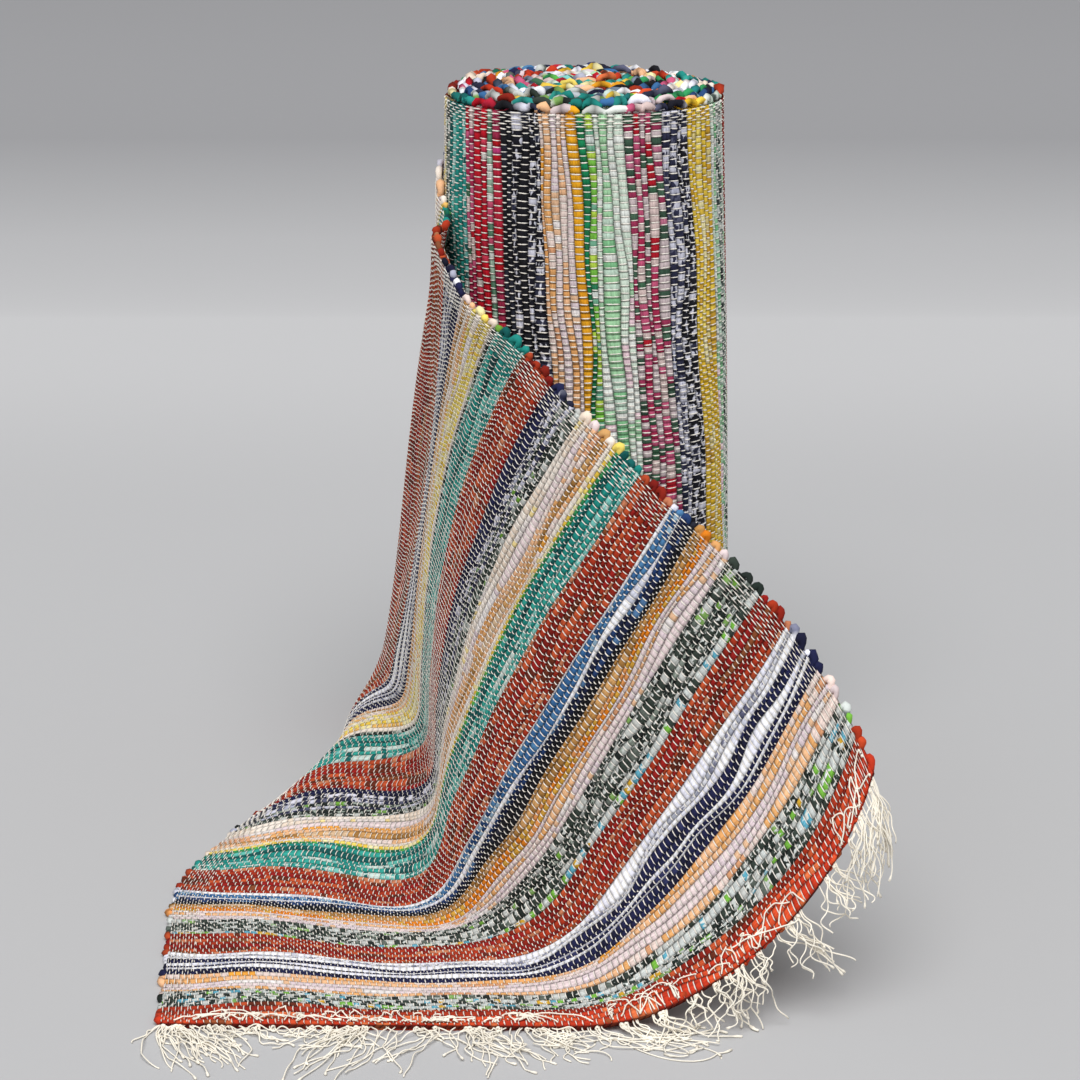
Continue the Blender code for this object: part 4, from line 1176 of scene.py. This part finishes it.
# Each knot is two small rings at different tilts, set on the hem's edge.
def makeKnots(name, places, seed):
    random = np.random.default_rng(seed)
    edge, outward, along = hemAt(places)
    angle = np.linspace(0.0, 2.0 * np.pi, knots["steps"])
    paths, guides = [], []
    for turn in range(2):
        tilt = either(random, knots["tilt"], len(places))[:, None]
        across = along * np.cos(tilt) + outward * np.sin(tilt)
        up = unit(np.cross(across, outward))
        centre = edge + outward * (knots["off"] + knots["between"] * turn)
        size = knots["ring"] * random.uniform(*knots["ringSpread"], len(places))[:, None, None]
        ring = across[:, None] * np.cos(angle)[None, :, None] + up[:, None] * np.sin(angle)[None, :, None]
        paths.append(centre[:, None] + ring * size)
        guides.append(np.repeat(np.cross(across, up)[:, None], len(angle), axis=1))
    paths = np.concatenate(paths)
    paths[..., 2] = np.maximum(paths[..., 2], knots["tube"])
    radii = np.full(paths.shape[:2], knots["tube"])
    return tubeMesh(name, paths, radii, knots["sides"], np.concatenate(guides), materials=[fringeMaterial])


hemYarns = {
    "counts": (46, 24), "ends": (0.005, 0.010), "margin": 0.002,
    "reach": 0.024, "wave": 0.003, "wavePace": 3.0,
    "back": (0.8, 3.4), "backShape": (0.6, 1.0), "leastBack": 0.02,  # how far back they lie, in picks
    "off": 2.2, "heap": 0.0008,
}


# Warp ends that lie back over the hem's rags, each a low loop out over the ribs and home again.
def makeHemYarns(name, low, high, count, seed):
    random = np.random.default_rng(seed)
    steps = fringe["steps"]
    share = np.linspace(0.0, 1.0, steps)[None]
    start = random.uniform(low, high, (count, 1))
    reach = random.normal(0.0, hemYarns["reach"], (count, 1))
    wave = hemYarns["wave"] * smoothNoise(random, count, steps, 3) * easeStep(share * hemYarns["wavePace"])
    far = random.uniform(*hemYarns["back"], (count, 1))
    back = far * np.sin(np.pi * share * random.uniform(*hemYarns["backShape"], (count, 1)))
    across = np.clip(start + reach * share + wave, hemYarns["margin"], rug["width"] - hemYarns["margin"])
    heap = hemYarns["heap"] * np.abs(smoothNoise(random, count, steps, 3))
    lift = rug["cloth"] + weave["ribProud"] + hemYarns["off"] * fringe["yarn"] + heap
    paths = onCloth(np.maximum(back, hemYarns["leastBack"]), across, lift)
    guide = np.broadcast_to(hemAt(start[:, 0])[1][:, None], paths.shape)
    return yarnTubes(name, paths, np.cross(guide, np.gradient(paths, axis=1)))


hemBunch = {
    "spacing": (0.006, 0.014), "most": 80, "length": (0.009, 0.016), "steps": 8, "sides": 7,
    "before": 0.02, "rising": 0.06,  # they begin before the hem lifts off, and grow from there
    "place": 0.25, "placeSpread": (-0.2, 1.2), "lift": (0.35, 0.85), "wave": 0.0012,
    "tube": 0.0022, "tubeSpread": (0.7, 1.25), "lumps": 0.15, "crumple": 0.2,
    "tubeShape": (0.55, 0.5), "leastShare": 0.4, "margin": 0.004, "leastPlace": 0.1,
    "firstPick": 400.5, "seeds": (61, 62),
}


# Where the hem hangs free its last rag is bunched: short crumpled arcs, end to end along the hem's edge.
def makeHemBunches():
    random = np.random.default_rng(hemBunch["seeds"][0])
    first = fringe["liftOff"] - hemBunch["before"]
    at = np.cumsum(random.uniform(*hemBunch["spacing"], hemBunch["most"])) + first
    at = at[at < rug["width"] - hemBunch["margin"]]
    count, steps = len(at), hemBunch["steps"]
    share = np.linspace(0.0, 1.0, steps)[None]
    arc = np.sin(np.pi * share)
    length = random.uniform(*hemBunch["length"], (count, 1))
    margin = hemYarns["margin"]
    across = np.clip(at[:, None] + length * (share - 0.5), margin, rug["width"] - margin)
    sunk = random.uniform(*hemBunch["placeSpread"], (count, 1)) * (1.0 - arc)
    lift = rug["cloth"] * random.uniform(*hemBunch["lift"], (count, 1))
    lift = lift + hemBunch["wave"] * smoothNoise(random, count, steps, 2)
    paths = onCloth(np.maximum(hemBunch["place"] + sunk, hemBunch["leastPlace"]), across, lift)
    rising = easeStep((at - first) / hemBunch["rising"])[:, None]
    thin, thicker = hemBunch["tubeShape"]
    radii = hemBunch["tube"] * random.uniform(*hemBunch["tubeSpread"], (count, 1)) * (thin + thicker * arc)
    least = hemBunch["leastShare"]
    radii = radii * (least + (1.0 - least) * rising)
    radii = radii * (1.0 + hemBunch["lumps"] * smoothNoise(random, count, steps, 3))
    guide = np.repeat(hemAt(at)[1][:, None], steps, axis=1)
    guide = np.cross(guide, np.gradient(paths, axis=1))
    uv = np.stack([np.repeat(random.integers(0, 40, (count, 1)) + hemBunch["firstPick"], steps, 1),
                   np.repeat(0.15 + 0.7 * share, count, 0) + 5 * np.arange(count)[:, None]], axis=-1)
    slots = np.full(count, ragSlot["hemRust"])
    return tubeMesh("hem_bunches", paths, radii, hemBunch["sides"], guide, uv, slots, ragMaterials,
                    hemBunch["crumple"], hemBunch["seeds"][1])


hemBunches = makeHemBunches()
floorFringe, floorKnotPlaces = makeFloorFringe()
hangingFringe, raisedKnotPlaces = makeRaisedFringe()
floorKnots = makeKnots("fringe_knots_on_floor", floorKnotPlaces, 55)
raisedKnots = makeKnots("fringe_knots_hanging", raisedKnotPlaces, 56)
lowCount, highCount = hemYarns["counts"]
lowEnd, highEnd = hemYarns["ends"]
floorHemYarns = makeHemYarns("warp_ends_over_hem_low", lowEnd, fringe["liftOff"], lowCount, 57)
raisedHemYarns = makeHemYarns("warp_ends_over_hem_high", fringe["liftOff"], rug["width"] - highEnd, highCount,
                              58)
print("fringe laid")


# What rides on the body, and what it stands for.
ridesWithSheet = stitchPieces + [upperKnobs, lowerKnobs, hemBunches, floorFringe, hangingFringe, floorKnots,
                                 raisedKnots, floorHemYarns, raisedHemYarns]
for piece in [looseEnd, rollBody, rollStitches, rollLoops] + ridesWithSheet:
    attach(piece, "root")
for piece in [rollBody, rollStitches, rollLoops]:
    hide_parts("rug_roll")
for piece in [looseEnd, upperKnobs, lowerKnobs, hemBunches] + stitchPieces:
    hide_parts("rug_loose_end")
for node, pieces in (("fringe_floor", (floorFringe, floorKnots, floorHemYarns)),
                     ("fringe_raised", (hangingFringe, raisedKnots, raisedHemYarns))):
    for piece in pieces:
        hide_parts(node)
print("pieces tied to their nodes")


studio = {
    "camera": (-0.043, -3.0, 1.096), "pitch": 73.9, "lens": 101.0, "sensor": 36.0, "seesTo": 50.0,
    # painted light and shade on the paper: lighter at the wall's foot, darker up the wall where the light
    # falls off
    "floor": (182, 182, 183), "wallFoot": (191, 191, 192), "wall": (143, 143, 145),
    "floorEnds": (0.9, 1.9),       # where the floor's colour turns to the lighter one at the wall's foot, painted light
    "wallRises": 0.18, "wallCurve": 0.6,
    "halfWidth": 6.0,
    "section": ((-6.0, 0.0), (2.2, 0.0), (2.7, 0.05), (3.1, 0.18), (3.35, 0.40), (3.5, 0.75), (3.55, 1.2),
                (3.55, 5.0)),
    "roughness": 0.95, "specular": 0.1,
    "sunStrength": 2.8, "sunSpread": 50.0, "sunTurn": (29.0, 0.0, -2.0),
    "lampAt": (-1.2, -4.4, 2.2), "lampAim": (0.0, 0.0, 0.3), "lampSize": (2.6, 2.2), "lampPower": 29.0,
    "air": (0.97, 0.98, 1.0, 1.0), "airStrength": 0.36,
}


def makeStage():  # a floor that curves up into a wall: the section swept along x, lighter at the wall's foot and darker up the wall as painted light and shade
    depth, height = np.array(studio["section"]).T
    x = np.array([-studio["halfWidth"], studio["halfWidth"]])
    points = np.stack([np.repeat(x, len(depth)), np.tile(depth, 2), np.tile(height, 2)], axis=-1)
    near = np.arange(len(depth) - 1)
    faces = np.stack([near, near + len(depth), near + len(depth) + 1, near + 1], axis=-1)
    material = bpy.data.materials.new("studio_paper")
    bench = NodeBench(material)
    place = bench.node("ShaderNodeTexCoord").outputs["Object"]
    parts = bench.node("ShaderNodeSeparateXYZ", {0: place})
    # painted light and shade: the floor lightens towards the wall's foot, and the wall darkens as it rises
    begins, ends = studio["floorEnds"]
    back = bench.node("ShaderNodeMapRange", {0: parts.outputs[1], 1: begins, 2: ends},
                      interpolation_type="SMOOTHSTEP")
    up = bench.node("ShaderNodeMapRange", {0: parts.outputs[2], 1: 0.0, 2: studio["wallRises"]})
    rising = bench.math("POWER", up.outputs[0], studio["wallCurve"])
    foot = bench.mixColour(back.outputs[0], linearColour(*studio["floor"]), linearColour(*studio["wallFoot"]))
    colour = bench.mixColour(rising, foot, linearColour(*studio["wall"]))
    bench.feed(bench.shader.inputs["Base Color"], colour)
    bench.shader.inputs["Roughness"].default_value = studio["roughness"]
    bench.shader.inputs["Specular IOR Level"].default_value = studio["specular"]
    addMesh("studio_floor", points, [faces], materials=[material])


def addToScene(name, data, place, turn):  # a lamp or camera at its place, turned
    made = bpy.data.objects.new(name, data)
    made.location = place
    made.rotation_euler = turn
    bpy.context.scene.collection.objects.link(made)
    return made


# A square lamp that faces its aim: pitched up from straight down, then turned round the upright.
def addLamp():
    lamp = bpy.data.lights.new("front_light", "AREA")
    lamp.shape = "RECTANGLE"
    lamp.size, lamp.size_y = studio["lampSize"]
    lamp.energy = studio["lampPower"]
    way = np.array(studio["lampAim"]) - np.array(studio["lampAt"])
    turn = (math.atan2(math.hypot(way[0], way[1]), -way[2]), 0.0, math.atan2(-way[0], way[1]))
    addToScene("front_light", lamp, studio["lampAt"], turn)


makeStage()
sun = bpy.data.lights.new("soft_sun", "SUN")
sun.energy = studio["sunStrength"]
sun.angle = math.radians(studio["sunSpread"])
addToScene("soft_sun", sun, (0.0, 0.0, 0.0), [math.radians(angle) for angle in studio["sunTurn"]])
addLamp()
world = bpy.data.worlds.new("studio_air")
bpy.context.scene.world = world
world.use_nodes = True
background = world.node_tree.nodes["Background"]
background.inputs[0].default_value = studio["air"]
background.inputs[1].default_value = studio["airStrength"]

camera = bpy.data.cameras.new("camera")
camera.lens = studio["lens"]
camera.sensor_width = studio["sensor"]
camera.sensor_fit = "HORIZONTAL"
camera.clip_end = studio["seesTo"]
pitch = math.radians(studio["pitch"])
bpy.context.scene.camera = addToScene("camera", camera, studio["camera"], (pitch, 0.0, 0.0))
bpy.context.scene.view_settings.view_transform = "Standard"
bpy.context.scene.view_settings.look = "None"
print("studio ready")

bpy.context.view_layer.update()
